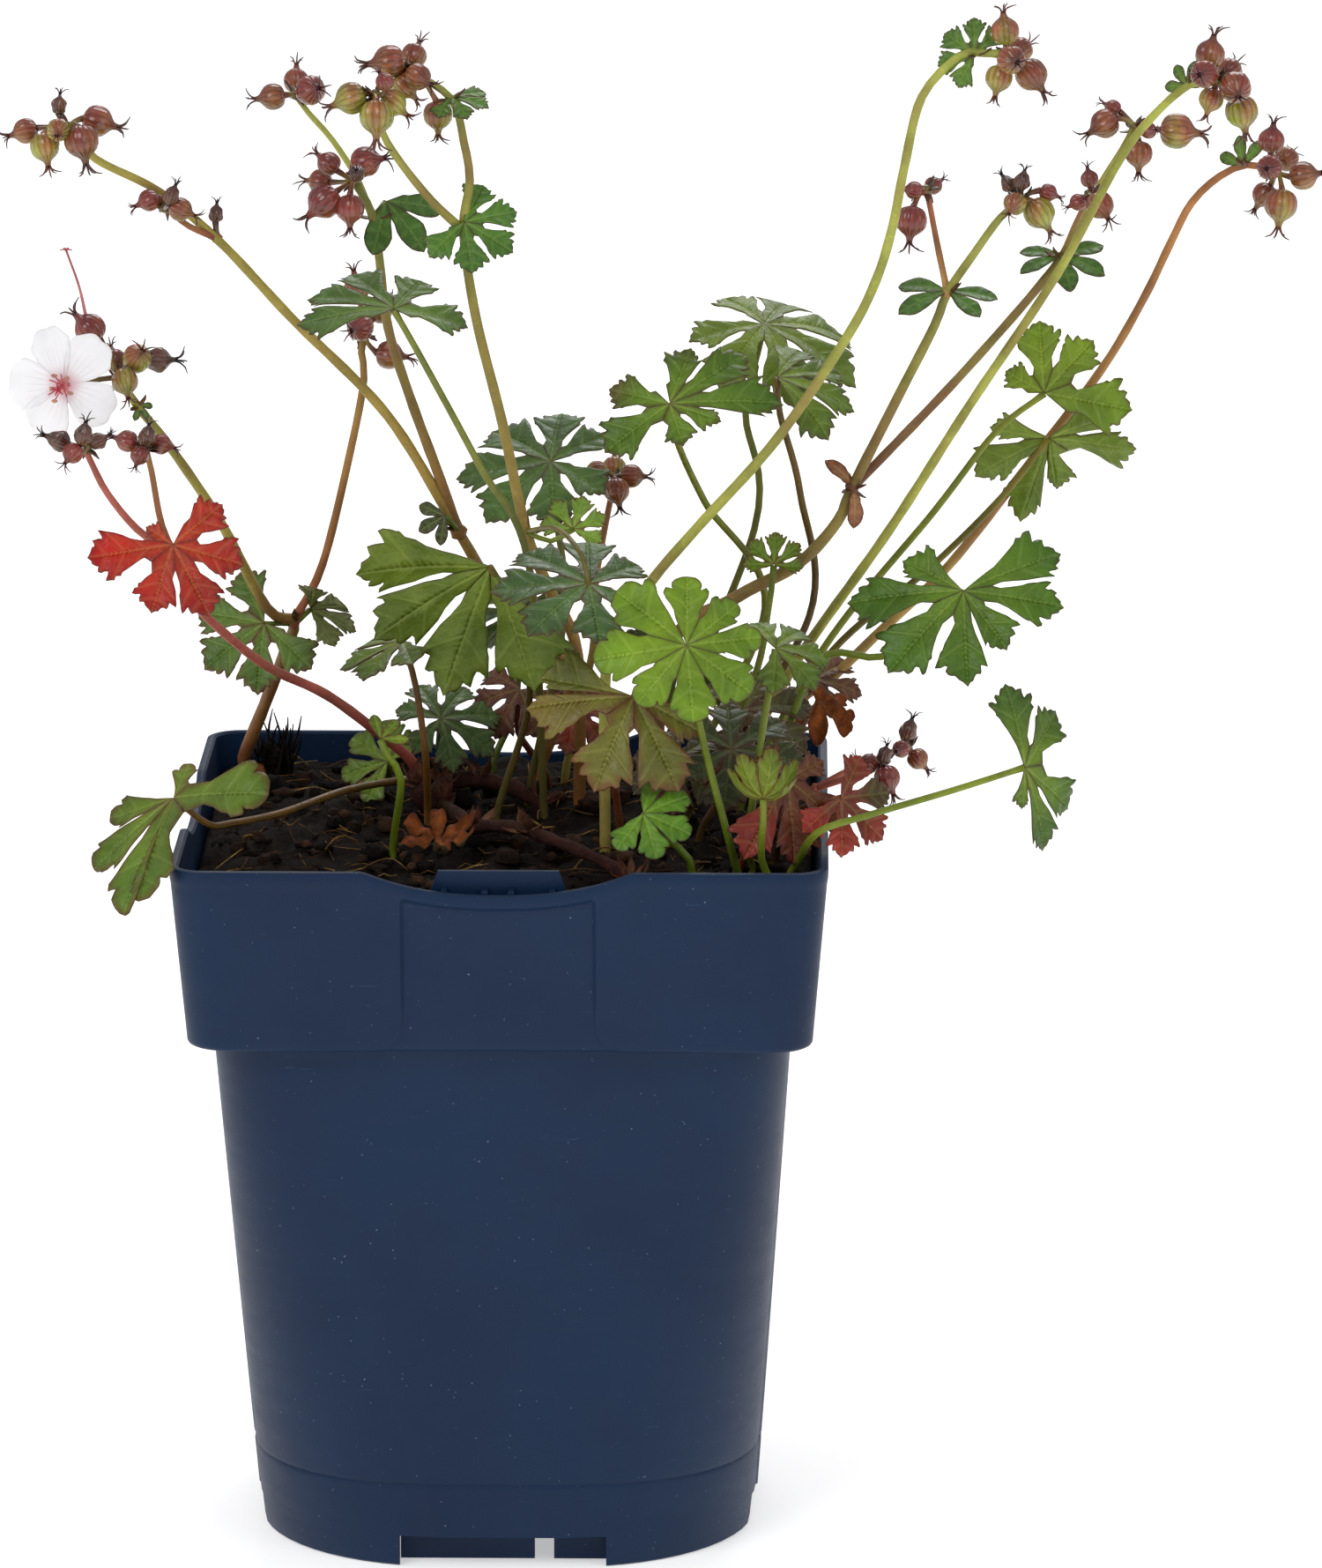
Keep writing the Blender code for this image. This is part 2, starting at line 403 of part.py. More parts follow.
def ball(centre, radius):
    """An eight-sided ball."""
    corners = [(1, 0, 0), (0, 1, 0), (-1, 0, 0), (0, -1, 0), (0, 0, 1), (0, 0, -1)]
    faces = [(0, 1, 4), (1, 2, 4), (2, 3, 4), (3, 0, 4), (1, 0, 5), (2, 1, 5), (3, 2, 5), (0, 3, 5)]
    return [centre + radius * np.array(c, dtype=float) for c in corners], faces


def across_axes(along):
    first = unit(np.cross(along, (0.83, 0.21, 0.52)))
    return first, np.cross(along, first)


def fruit(centre, width, way, twist, root=None):
    """A swollen calyx drawn in to a neck, with five awns spreading at its end, on its pedicel."""
    first, second = across_axes(way)
    step = 2 * math.pi / 5

    def at(turn, radius, along):
        return centre + way * along * width + width * radius * (math.cos(turn) * first + math.sin(turn) * second)

    verts = []
    if root is not None:
        lean = unit(centre - way * 0.5 * width - root)
        one = unit(first - lean * np.dot(first, lean))
        two = np.cross(lean, one)
        for k in range(5):
            turn = twist + k * step
            verts.append(root + PEDICEL_RADIUS * (math.cos(turn) * one + math.sin(turn) * two))
    thin = PEDICEL_RADIUS / width
    rings = [(-0.52, thin)]
    rings += [(-0.30, 0.40), (0.18, 0.46)] if width > 4.3 * MM else [(-0.08, 0.49)]
    rings.append((0.60, 0.10))
    for along, radius in rings:
        verts.extend(at(twist + k * step, radius, along) for k in range(5))
    low = len(verts) - 5
    verts.extend(at(twist + k * step, 0.24, 1.02) for k in range(5))
    verts.append(at(0, 0, 0.78))
    tip = len(verts) - 1
    faces = [(4, 3, 2, 1, 0)]
    for ring in range(0, low + 1, 5):
        for k in range(5):
            nxt = (k + 1) % 5
            faces.append((ring + k, ring + nxt, ring + 5 + nxt, ring + 5 + k))
    faces.extend((low + 5 + k, low + 5 + (k + 1) % 5, tip) for k in range(5))
    return verts, faces


LOBE_SPACE = math.radians(1.6)
LOBE_FINE = ([(0.52, 0.14), (0.74, 0.27), (0.88, 0.22), (0.80, 0.11), (0.94, 0.11)], [0.32, 0.66])
LOBE_PLAIN = ([(0.68, 0.32), (0.86, 0.17)], [0.52])
LOBE_SMALL = ([(0.72, 0.27)], [0.50])
LOBE_NARROW = ([(0.40, 0.13), (0.75, 0.12)], [0.45])
LOBE_PETAL = ([(0.30, 0.16), (0.62, 0.36), (0.88, 0.35), (0.99, 0.16)], [0.35, 0.72])


def blade(centre, forward, facing, length, lobes, pattern, droop, thickness, fold=0.16, sinus=0.30, ring=False):
    """A lobed blade: a flat net of lobes, arched, with both faces split alike."""
    facing = unit(facing)
    forward = unit(forward - facing * np.dot(forward, facing))
    side = np.cross(facing, forward)
    edge, ribs = pattern
    flat = [(0.0, 0.0, 0.0)]
    faces = []

    def put(angle, along, off, scale, lift):
        x = along * math.cos(angle) - off * math.sin(angle)
        y = along * math.sin(angle) + off * math.cos(angle)
        flat.append((x * scale, y * scale, lift * scale))
        return len(flat) - 1

    count = len(lobes)
    spread = lobes[1][0] - lobes[0][0] if count > 1 else math.radians(60)
    open_side = 2 * math.pi - (lobes[-1][0] - lobes[0][0])
    end = spread * 0.5 if ring else min(spread * 0.5, open_side * 0.5 - LOBE_SPACE)
    corners = []
    for k in range(count + 1):
        if k == 0:
            angle, scale = lobes[0][0] - end, lobes[0][1]
        elif k == count:
            angle, scale = lobes[-1][0] + end, lobes[-1][1]
        else:
            angle = (lobes[k - 1][0] + lobes[k][0]) / 2
            scale = (lobes[k - 1][1] + lobes[k][1]) / 2
        if ring and k == count:
            corners.append(corners[0])
        else:
            corners.append(put(angle, sinus, 0.0, scale, fold * sinus * 0.3))
    for k, (angle, scale) in enumerate(lobes):
        rib = [put(angle, s, 0.0, scale, 0.0) for s in ribs]
        tip = put(angle, 1.0, 0.0, scale, 0.0)
        for sign, corner in ((-1, corners[k]), (1, corners[k + 1])):
            beside = k + sign
            room = abs(lobes[beside][0] - angle) / 2 if 0 <= beside < count else min(0.7, open_side / 2)
            most = math.tan(max(0.1, room - LOBE_SPACE))
            rim = [corner]
            for s, t in edge:
                wide = t if ring else min(t, s * most)
                rim.append(put(angle, s, sign * wide, scale, fold * wide))
            rim.append(tip)
            half = [(0, rib[0], corner)]
            hold = 0
            for j in range(len(rim) - 1):
                while hold + 1 < len(rib) and j >= 1 + hold and edge[min(j - 1, len(edge) - 1)][0] > ribs[hold] + 0.12:
                    half.append((rib[hold], rib[hold + 1], rim[j]))
                    hold += 1
                half.append((rib[hold], rim[j + 1], rim[j]))
            if sign < 0:
                half = [tuple(reversed(f)) for f in half]
            faces.extend(half)
    top = []
    for x, y, lift in flat:
        reach = math.hypot(x, y)
        height = lift - droop * reach ** 2
        pull = 1.0 - 0.35 * abs(droop) * reach
        top.append(centre + length * (forward * x * pull + side * y * pull + facing * height))
    low = [p - facing * thickness for p in top]
    size = len(top)
    seen = {}
    upward = []
    for a, b, c in faces:
        ax, ay = flat[a][0], flat[a][1]
        turn = (flat[b][0] - ax) * (flat[c][1] - ay) - (flat[b][1] - ay) * (flat[c][0] - ax)
        upward.append((a, b, c) if turn > 0 else (a, c, b))
    for face in upward:
        for k in range(3):
            seen[(face[k], face[(k + 1) % 3])] = True
    out = list(upward) + [(c + size, b + size, a + size) for a, b, c in upward]
    for a, b in seen:
        if (b, a) not in seen:
            out.append((b, a, a + size))
            out.append((b, a + size, b + size))
    return top + low, out


def lobe_fan(count):
    """Angle and length of each lobe: a count of them, or their angles in degrees from the longest."""
    if isinstance(count, tuple):
        return [(math.radians(angle), 1.0 - 0.0015 * abs(angle)) for angle in count]
    half = count // 2
    step = {7: 47.0, 5: 50.0, 3: 52.0}.get(count, 46.0)
    shrink = {0: 1.0, 1: 0.97, 2: 0.90, 3: 0.72}
    if count == 1:
        return [(0.0, 1.0)]
    if count % 2:
        return [(math.radians(step * (k - half)), shrink[abs(k - half)]) for k in range(count)]
    return [(math.radians(step * (k - half + (1 if count == 2 else 0) * 0.5)), shrink[min(3, abs(k - half))])
            for k in range(count)]


def lobes_to(places, centre, forward, facing, length):
    """Angle and length of lobes whose tips are places of the photograph."""
    forward = unit(forward - facing * np.dot(forward, facing))
    side = np.cross(facing, forward)
    lobes = []
    for across, down in places:
        reach = spot_on_plane(across, down, centre, facing) - centre
        angle = math.atan2(float(np.dot(reach, side)), float(np.dot(reach, forward))) % (2 * math.pi)
        lobes.append((angle, min(1.5, float(np.linalg.norm(reach)) / length)))
    lobes.sort()
    gaps = [(lobes[k][0] - lobes[k - 1][0]) % (2 * math.pi) for k in range(len(lobes))]
    first = gaps.index(max(gaps))
    return lobes[first:] + [(angle + 2 * math.pi, scale) for angle, scale in lobes[:first]]


def leaf(entry, grade="plain"):
    """The petiole and the blade of one leaf."""
    centre_place, tip_place, facing, count, droop, route = entry
    facing = unit(facing)
    centre = spot(centre_place)
    sessile = len(route) == 1 and len(route[0]) == 3 and np.linalg.norm(spot(route[0]) - centre) < 2.6 * MM
    if sessile:
        centre = spot(route[0]) + facing * BLADE_THICKNESS * 0.5
    target = spot_on_plane(tip_place[0], tip_place[1], centre, facing)
    seen = np.linalg.norm(spot((tip_place[0], tip_place[1], centre_place[2])) - centre)
    length = min(np.linalg.norm(target - centre), 1.35 * seen)
    if len(tip_place) > 2:
        target = spot(tip_place)
        length = np.linalg.norm(target - centre)
    forward = target - centre
    if isinstance(count, int) and count <= 3:
        pattern = LOBE_NARROW
    else:
        pattern = {"fine": LOBE_FINE, "small": LOBE_SMALL}.get(grade, LOBE_PLAIN)
    lobes = lobes_to(count, centre, forward, facing, length) if isinstance(count, list) else lobe_fan(count)
    body = blade(centre, forward, facing, length, lobes, pattern, droop, BLADE_THICKNESS)
    if sessile:
        return [body]
    points = route_points(route)
    points.append(centre - facing * BLADE_THICKNESS * 0.5)
    rooted_leaf = len(route[0]) == 2
    foot = PETIOLE_RADIUS if rooted_leaf else 0.55 * MM
    tip = 0.62 * MM if rooted_leaf else 0.5 * MM
    return [body, tube(points, stem_radii(len(points), foot, tip), 5 if rooted_leaf else 4, 30.0 * MM)]


def head(hub, fruits, spray_side=None):
    """A hub with a pedicel and a seed vessel to every place."""
    pieces = [ball(hub, HUB_RADIUS)]
    for number, (across, down, back, width, way, ripeness) in enumerate(fruits):
        pieces.append(fruit(spot((across, down, back)), width * MM, unit(way), number * 0.7, hub))
    return pieces


# Objects
def material(name, colour, roughness=0.6):
    made = bpy.data.materials.new(name)
    made.use_nodes = True
    shader = made.node_tree.nodes["Principled BSDF"]
    shader.inputs["Base Color"].default_value = (colour[0], colour[1], colour[2], 1.0)
    shader.inputs["Roughness"].default_value = roughness
    shader.inputs["Metallic"].default_value = 0.0
    return made


def put_object(name, shape, smooth=True):
    verts, faces = shape
    mesh = bpy.data.meshes.new(name)
    mesh.from_pydata([tuple(float(c) for c in v) for v in verts], [], [tuple(f) for f in faces])
    net = bmesh.new()
    net.from_mesh(mesh)
    bmesh.ops.triangulate(net, faces=net.faces[:])
    bmesh.ops.recalc_face_normals(net, faces=net.faces[:])
    net.to_mesh(mesh)
    net.free()
    for polygon in mesh.polygons:
        polygon.use_smooth = smooth
    made = bpy.data.objects.new(name, mesh)
    bpy.context.scene.collection.objects.link(made)
    return made


def apply_modifiers(made):
    graph = bpy.context.evaluated_depsgraph_get()
    mesh = bpy.data.meshes.new_from_object(made.evaluated_get(graph), depsgraph=graph)
    made.modifiers.clear()
    made.data = mesh


def fused(name, pieces, colour, smooth=False, roughness=0.6, lean=0.8):
    """One closed body of all the pieces of a node."""
    first = put_object(name, pieces[0], smooth)
    if len(pieces) > 1:
        group = bpy.data.collections.new(name + "_pieces")
        bpy.context.scene.collection.children.link(group)
        for number, shape in enumerate(pieces[1:]):
            extra = put_object(name + "_piece_" + str(number), shape, smooth)
            bpy.context.scene.collection.objects.unlink(extra)
            group.objects.link(extra)
        join = first.modifiers.new("join", "BOOLEAN")
        join.operation = "UNION"
        join.operand_type = "COLLECTION"
        join.collection = group
        join.solver = "MANIFOLD"
        apply_modifiers(first)
        for extra in list(group.objects):
            bpy.data.objects.remove(extra, do_unlink=True)
        bpy.data.collections.remove(group)
    tidy(first)
    if lean < 1.0:
        thin_out = first.modifiers.new("lean", "DECIMATE")
        thin_out.ratio = lean
        thin_out.use_collapse_triangulate = True
        apply_modifiers(first)
        tidy(first)
    first.data.materials.clear()
    first.data.materials.append(material(name, colour, roughness))
    return first


def tidy(made):
    """Merge doubled corners, join flat neighbours and drop crumbs left by a union."""
    net = bmesh.new()
    net.from_mesh(made.data)
    bmesh.ops.remove_doubles(net, verts=net.verts[:], dist=0.000001)
    bmesh.ops.dissolve_degenerate(net, edges=net.edges[:], dist=0.000001)
    bmesh.ops.dissolve_limit(net, angle_limit=math.radians(0.4), verts=net.verts[:], edges=net.edges[:])
    bmesh.ops.triangulate(net, faces=net.faces[:])
    bmesh.ops.dissolve_degenerate(net, edges=net.edges[:], dist=0.000001)
    bmesh.ops.triangulate(net, faces=net.faces[:])
    left = set(net.verts)
    shells = []
    while left:
        start = left.pop()
        shell, edge = {start}, [start]
        while edge:
            here = edge.pop()
            for link in here.link_edges:
                other = link.other_vert(here)
                if other in left:
                    left.discard(other)
                    shell.add(other)
                    edge.append(other)
        shells.append(shell)
    shells.sort(key=len)
    for shell in shells[:-1]:
        if len(shell) < 12:
            bmesh.ops.delete(net, geom=list(shell), context="VERTS")
    net.to_mesh(made.data)
    net.free()


def cut(made, cutters):
    """Take the cutters away from an object in one cut."""
    group = bpy.data.collections.new(made.name + "_cutters")
    bpy.context.scene.collection.children.link(group)
    for number, shape in enumerate(cutters):
        cutter = put_object(made.name + "_cutter_" + str(number), shape, False)
        bpy.context.scene.collection.objects.unlink(cutter)
        group.objects.link(cutter)
    carve = made.modifiers.new("carve", "BOOLEAN")
    carve.operation = "DIFFERENCE"
    carve.operand_type = "COLLECTION"
    carve.collection = group
    carve.solver = "MANIFOLD"
    apply_modifiers(made)
    for cutter in list(group.objects):
        bpy.data.objects.remove(cutter, do_unlink=True)
    bpy.data.collections.remove(group)


def box(low, high):
    x0, y0, z0 = low
    x1, y1, z1 = high
    verts = [(x0, y0, z0), (x1, y0, z0), (x1, y1, z0), (x0, y1, z0), (x0, y0, z1), (x1, y0, z1), (x1, y1, z1),
             (x0, y1, z1)]
    faces = [(0, 3, 2, 1), (4, 5, 6, 7), (0, 1, 5, 4), (1, 2, 6, 5), (2, 3, 7, 6), (3, 0, 4, 7)]
    return [np.array(v, dtype=float) for v in verts], faces


def turned(shape, quarters):
    """A shape turned about the pot's upright axis by quarter turns."""
    c, s = [(1, 0), (0, 1), (-1, 0), (0, -1)][quarters % 4]
    return [np.array([v[0] * c - v[1] * s, v[0] * s + v[1] * c, v[2]]) for v in shape[0]], shape[1]


def upright_rod(x, y, z0, z1, radius, sides):
    low = [np.array([x + radius * math.cos(2 * math.pi * k / sides), y + radius * math.sin(2 * math.pi * k / sides), z0])
           for k in range(sides)]
    verts = low + [np.array([v[0], v[1], z1]) for v in low]
    faces = [tuple(reversed(range(sides))), tuple(range(sides, 2 * sides))]
    faces.extend((k, (k + 1) % sides, sides + (k + 1) % sides, sides + k) for k in range(sides))
    return verts, faces


# The outline of the pot: places along one side as a share of the straight part, then the corner
SIDE_STOPS = (-1.0, -0.46, -0.313, -0.297, -0.15, 0.0, 0.15, 0.297, 0.313, 0.46)
CORNER_STEPS = 3


def outline(half, corner, height, recess=0.0, dip=0.0, bow=0.0):
    """One ring of the pot, counter-clockwise from the front left, with the panel set back and the rim dipped."""
    ring = []
    straight = half - corner
    for quarter in range(4):
        c, s = [(1, 0), (0, 1), (-1, 0), (0, -1)][quarter]
        places = []
        for stop in SIDE_STOPS:
            x = stop * RIM_HALF if abs(stop) < 0.9 else -straight
            x = max(-straight, min(straight, x))
            inside = abs(stop) < 0.30
            lower = max(0.0, 1.0 - (abs(x) / DIP_HALF) ** 2.4) if abs(x) < DIP_HALF else 0.0
            places.append((x, -(half - (recess if inside else 0.0) + bow * (1 - (x / half) ** 2)), height - dip * lower))
        for k in range(CORNER_STEPS + 1):
            turn = math.radians(-90.0 + 90.0 * k / CORNER_STEPS)
            places.append((straight + corner * math.cos(turn), -straight + corner * math.sin(turn), height))
        places.pop()
        for x, y, z in places:
            ring.append(np.array([x * c - y * s, x * s + y * c, z]))
    return ring


# The pot
def loft(rings, close_low, close_high):
    verts, faces = [], []
    size = len(rings[0])
    for ring in rings:
        verts.extend(ring)
    for level in range(len(rings) - 1):
        low, high = level * size, (level + 1) * size
        for k in range(size):
            nxt = (k + 1) % size
            faces.append((low + k, low + nxt, high + nxt, high + k))
    if close_low is not None:
        verts.append(np.array([0.0, 0.0, close_low]))
        middle = len(verts) - 1
        faces.extend((middle, (k + 1) % size, k) for k in range(size))
    if close_high is not None:
        verts.append(np.array([0.0, 0.0, close_high]))
        middle = len(verts) - 1
        start = (len(rings) - 1) * size
        faces.extend((middle, start + k, start + (k + 1) % size) for k in range(size))
    return verts, faces


BODY_TOP = POT_HEIGHT - COLLAR_HEIGHT


def body_half(height):
    return BASE_HALF + (BODY_TOP_HALF - BASE_HALF) * height / BODY_TOP


def body_corner(height):
    return BASE_CORNER + (BODY_TOP_CORNER - BASE_CORNER) * height / BODY_TOP


def collar_half(height):
    return COLLAR_BOTTOM_HALF + (RIM_HALF - COLLAR_BOTTOM_HALF) * (height - BODY_TOP) / COLLAR_HEIGHT


def pot_shape():
    lip = POT_HEIGHT - LIP_DEPTH
    rings = [
        outline(BASE_HALF - WALL, BASE_CORNER - WALL, FLOOR_UNDERSIDE),
        outline(BASE_HALF - WALL, BASE_CORNER - WALL, 0.0),
        outline(BASE_HALF, BASE_CORNER, 0.0),
        outline(body_half(46 * MM), body_corner(46 * MM), 46 * MM, bow=0.4 * MM),
        outline(BODY_TOP_HALF, BODY_TOP_CORNER, BODY_TOP, bow=0.6 * MM),
        outline(COLLAR_BOTTOM_HALF - 0.7 * MM, RIM_CORNER + 0.6 * MM, BODY_TOP, PANEL_RECESS),
        outline(COLLAR_BOTTOM_HALF, RIM_CORNER + 0.6 * MM, BODY_TOP + 0.8 * MM, PANEL_RECESS),
        outline(collar_half(lip - 0.5 * MM), RIM_CORNER, lip - 0.5 * MM, PANEL_RECESS, DIP_DEPTH),
        outline(collar_half(lip), RIM_CORNER, lip, 0.0, DIP_DEPTH),
        outline(RIM_HALF, RIM_CORNER, POT_HEIGHT, 0.0, DIP_DEPTH),
        outline(RIM_HALF - WALL, RIM_CORNER - WALL, POT_HEIGHT, 0.0, DIP_DEPTH),
        outline(COLLAR_BOTTOM_HALF - WALL, RIM_CORNER - WALL * 0.6, BODY_TOP + 2.0 * MM),
        outline(BODY_TOP_HALF - WALL, BODY_TOP_CORNER - WALL, BODY_TOP - 1.6 * MM),
        outline(body_half(FLOOR_TOP) - WALL, body_corner(FLOOR_TOP) - WALL, FLOOR_TOP),
    ]
    return loft(rings, FLOOR_UNDERSIDE, FLOOR_TOP)


def pot_pieces():
    pieces = [pot_shape()]
    pieces.append(upright_rod(0.0, 0.0, 0.0, FLOOR_UNDERSIDE + 0.9 * MM, 8.0 * MM, 16))
    wall_back = -(BASE_HALF - PLATE_SETBACK)
    for quarter in range(4):
        for left, right in ((-NOTCH_HALF, 5.3 * MM), (8.6 * MM, NOTCH_HALF + 0.7 * MM)):
            plate = box((left, wall_back, 0.0), (right, wall_back + 1.4 * MM, FLOOR_UNDERSIDE + 0.9 * MM))
            pieces.append(turned(plate, quarter))
    slot_back = -(collar_half(POT_HEIGHT - 3 * MM) - WALL - 2.4 * MM)
    slot_top = POT_HEIGHT - 0.6 * MM
    slot = box((-SLOT_HALF, slot_back, slot_top - 4.6 * MM), (SLOT_HALF, slot_back + 1.0 * MM, slot_top))
    slot[0][4][0] += 1.6 * MM
    slot[0][7][0] += 1.6 * MM
    slot[0][5][0] -= 1.6 * MM
    slot[0][6][0] -= 1.6 * MM
    pieces.append(slot)
    for x in (-9.0 * MM, -2.2 * MM, 2.2 * MM, 9.0 * MM):
        pieces.append(box((x - 0.5 * MM, slot_back - 3.0 * MM, slot_top - 4.6 * MM),
                          (x + 0.5 * MM, slot_back + 0.5 * MM, slot_top - 2.8 * MM)))
    return pieces


def pot_cutters():
    cutters = []
    for quarter in range(4):
        notch = box((-NOTCH_HALF, -BASE_HALF - 5 * MM, -1 * MM), (NOTCH_HALF, -BASE_HALF + 4.0 * MM, NOTCH_HEIGHT))
        cutters.append(turned(notch, quarter))
        turn = math.radians(45.0 + 90.0 * quarter)
        cutters.append(upright_rod(DRAIN_REACH * math.cos(turn), DRAIN_REACH * math.sin(turn),
                                   FLOOR_UNDERSIDE - 1 * MM, FLOOR_TOP + 1 * MM, DRAIN_RADIUS, 12))
    return cutters


# The soil
SOIL_STOPS = (0, 5, 10, 11, 12)


def soil_shape():
    def thin(ring):
        per_side = len(ring) // 4
        return [ring[q * per_side + k] for q in range(4) for k in SOIL_STOPS]

    gap = WALL + SOIL_GAP
    edge_half = collar_half(SOIL_EDGE_TOP - 3 * MM) - gap
    rings = [
        thin(outline(body_half(FLOOR_TOP) - gap, body_corner(FLOOR_TOP) - gap, FLOOR_TOP + SOIL_GAP)),
        thin(outline(BODY_TOP_HALF - gap, BODY_TOP_CORNER - gap, BODY_TOP - 1.2 * MM)),
        thin(outline(COLLAR_BOTTOM_HALF - gap, RIM_CORNER - gap * 0.6, BODY_TOP + 2.6 * MM)),
        thin(outline(edge_half, RIM_CORNER - gap * 0.6, SOIL_EDGE_TOP - 1.0 * MM)),
    ]
    for point in rings[3]:
        point[2] += SOIL_SLOPE * point[1]
    for share in (0.95, 0.76, 0.50, 0.24):
        ring = []
        for point in rings[3]:
            x, y = point[0] * share, point[1] * share
            ring.append(np.array([x, y, soil_height(x, y)]))
        rings.append(ring)
    return loft(rings, FLOOR_TOP + SOIL_GAP, soil_height(0.0, 0.0))


# Where every head's hub stands, and the nodes that are fused with their spray
HUBS = {name: spot(entry[0]) for name, entry in HEADS.items()}
HEAD_OF_SPRAY = {"head_low_left": "spray_red_left", "head_low_left_inner": "spray_red_left",
                 "head_centre": "spray_centre_short", "head_low_right": "spray_low_right",
                 "head_low_right_far": "spray_low_right"}
ROOTS = []


def note_roots(route, radius):
    for stop in route:
        if len(stop) == 2:
            ROOTS.append((stop[0] * MM, stop[1] * MM, radius))


def stem_piece(spray, route, foot, tip):
    stops = [stop for stop in route if not isinstance(stop, str)]
    points = route_points(stops)
    if isinstance(route[-1], str):
        hub = HUBS[route[-1]]
        if HEAD_OF_SPRAY.get(route[-1]) == spray:
            points.append(hub)
        else:
            back = unit(points[-1] - hub)
            points.append(hub + back * (HUB_RADIUS + PART_GAP))
    note_roots(stops, foot * MM)
    sides = 6 if foot > 1.4 else 5
    return tube(points, stem_radii(len(points), foot * MM, tip * MM), sides, 24.0 * MM)


def spray_pieces(name, entry):
    pieces = []
    for route, foot, tip in entry["stems"].values():
        pieces.append(stem_piece(name, route, foot, tip))
    for leaf_entry in entry.get("leaves", {}).values():
        pieces.extend(leaf(leaf_entry, "small"))
    for fruit_name, (across, down, back, width, way, ripeness, joint) in entry.get("fruits", {}).items():
        centre = spot((across, down, back))
        pieces.append(fruit(centre, width * MM, unit(way), 0.3, spot(joint)))
    for head_name, owner in HEAD_OF_SPRAY.items():
        if owner == name:
            pieces.extend(head(HUBS[head_name], HEADS[head_name][1]))
    return pieces


def rootstock_pieces():
    pieces = []
    for route, foot, tip in ROOTSTOCK.values():
        points = route_points(route)
        if len(route[-1]) == 2:
            points = points[:-3] + rooted(route[-1][0], route[-1][1])[::-1]
        note_roots(route, max(foot, tip) * MM)
        pieces.append(tube(points, stem_radii(len(points), foot * MM, tip * MM), 6, 12.0 * MM))
    return pieces


def litter_pieces(entries):
    pieces = []
    for centre_place, tip_place, facing, count, droop in entries:
        pieces.extend(leaf((centre_place, tip_place, facing, count, droop, [centre_place]))[:1])
    return pieces


def flower_parts():
    place, facing, reach = FLOWER
    centre, facing = spot(place), unit(facing)
    upward = np.array([0.12, 0.0, 1.0])
    lobes = [(math.radians(72.0 * k - 144.0), 1.0 if k != 1 else 0.92) for k in range(5)]
    petals = blade(centre, upward, facing, reach * MM, lobes, LOBE_PETAL, 0.10, PETAL_THICKNESS, 0.05, 0.14, True)
    front = centre + facing * (PART_GAP + 0.05 * MM)
    column = tube([front, front + facing * 2.2 * MM, front + facing * 4.6 * MM + np.array([0, 0, -0.4 * MM])],
                  [0.95 * MM, 0.55 * MM, 0.45 * MM], 5)
    middle = [column]
    first, second = across_axes(facing)
    for k in range(5):
        turn = 2 * math.pi * k / 5 + 0.4
        way = unit(facing + 0.75 * (math.cos(turn) * first + math.sin(turn) * second))
        low = front + facing * 0.7 * MM
        middle.append(tube([low, low + way * 2.7 * MM, low + way * 3.8 * MM], [0.3 * MM, 0.35 * MM, 0.6 * MM], 4))
    back = centre - facing * (PETAL_THICKNESS + PART_GAP)
    calyx = tube([back, back - facing * 1.6 * MM, back - facing * 2.6 * MM], [1.5 * MM, 1.1 * MM, 0.5 * MM], 5)
    hub = HUBS["head_flower"]
    bend = back - facing * 4.5 * MM
    stalk = tube([back - facing * 1.2 * MM, bend, (bend + hub) / 2 - facing * 1.0 * MM, hub],
                 [0.55 * MM, 0.5 * MM, 0.5 * MM, 0.5 * MM], 5)
    return petals, middle, [calyx, stalk]


# Build
GREEN = (0.16, 0.27, 0.06)
LEAF_COLOURS = {
    "leaf_big_front": (0.34, 0.42, 0.06), "leaf_behind_front": (0.22, 0.20, 0.06), "leaf_pale_left": (0.30, 0.36, 0.16),
    "leaf_dark_centre": (0.07, 0.16, 0.05), "leaf_upper_left": (0.08, 0.15, 0.05), "leaf_fresh_right": (0.30, 0.46, 0.06),
    "leaf_pale_right": (0.34, 0.42, 0.18), "leaf_large_right": (0.17, 0.30, 0.06), "leaf_browned": (0.22, 0.26, 0.07),
    "leaf_red_left": (0.36, 0.08, 0.04), "leaf_red_right": (0.25, 0.14, 0.06), "leaf_edge_on": (0.32, 0.30, 0.09),
    "leaf_fuzzy": (0.33, 0.44, 0.09), "leaf_small_front": (0.25, 0.42, 0.06), "leaf_dark_right": (0.10, 0.13, 0.06),
}
LEAF_GRADES = {
    "leaf_big_front": "fine", "leaf_large_right": "fine", "leaf_edge_on": "small",
    "leaf_back_left": "small", "leaf_back_right": "small", "leaf_cup": "small", "leaf_small_front": "small",
    "leaf_small_centre": "small", "leaf_low_left": "small", "leaf_low_dark": "small", "leaf_dark_right": "small",
    "leaf_red_right": "small", "leaf_mid_right": "small",
}
HEAD_COLOUR = (0.22, 0.10, 0.05)
STEM_COLOURS = {"spray_red_left": (0.30, 0.08, 0.05), "spray_low_right": (0.28, 0.09, 0.05)}

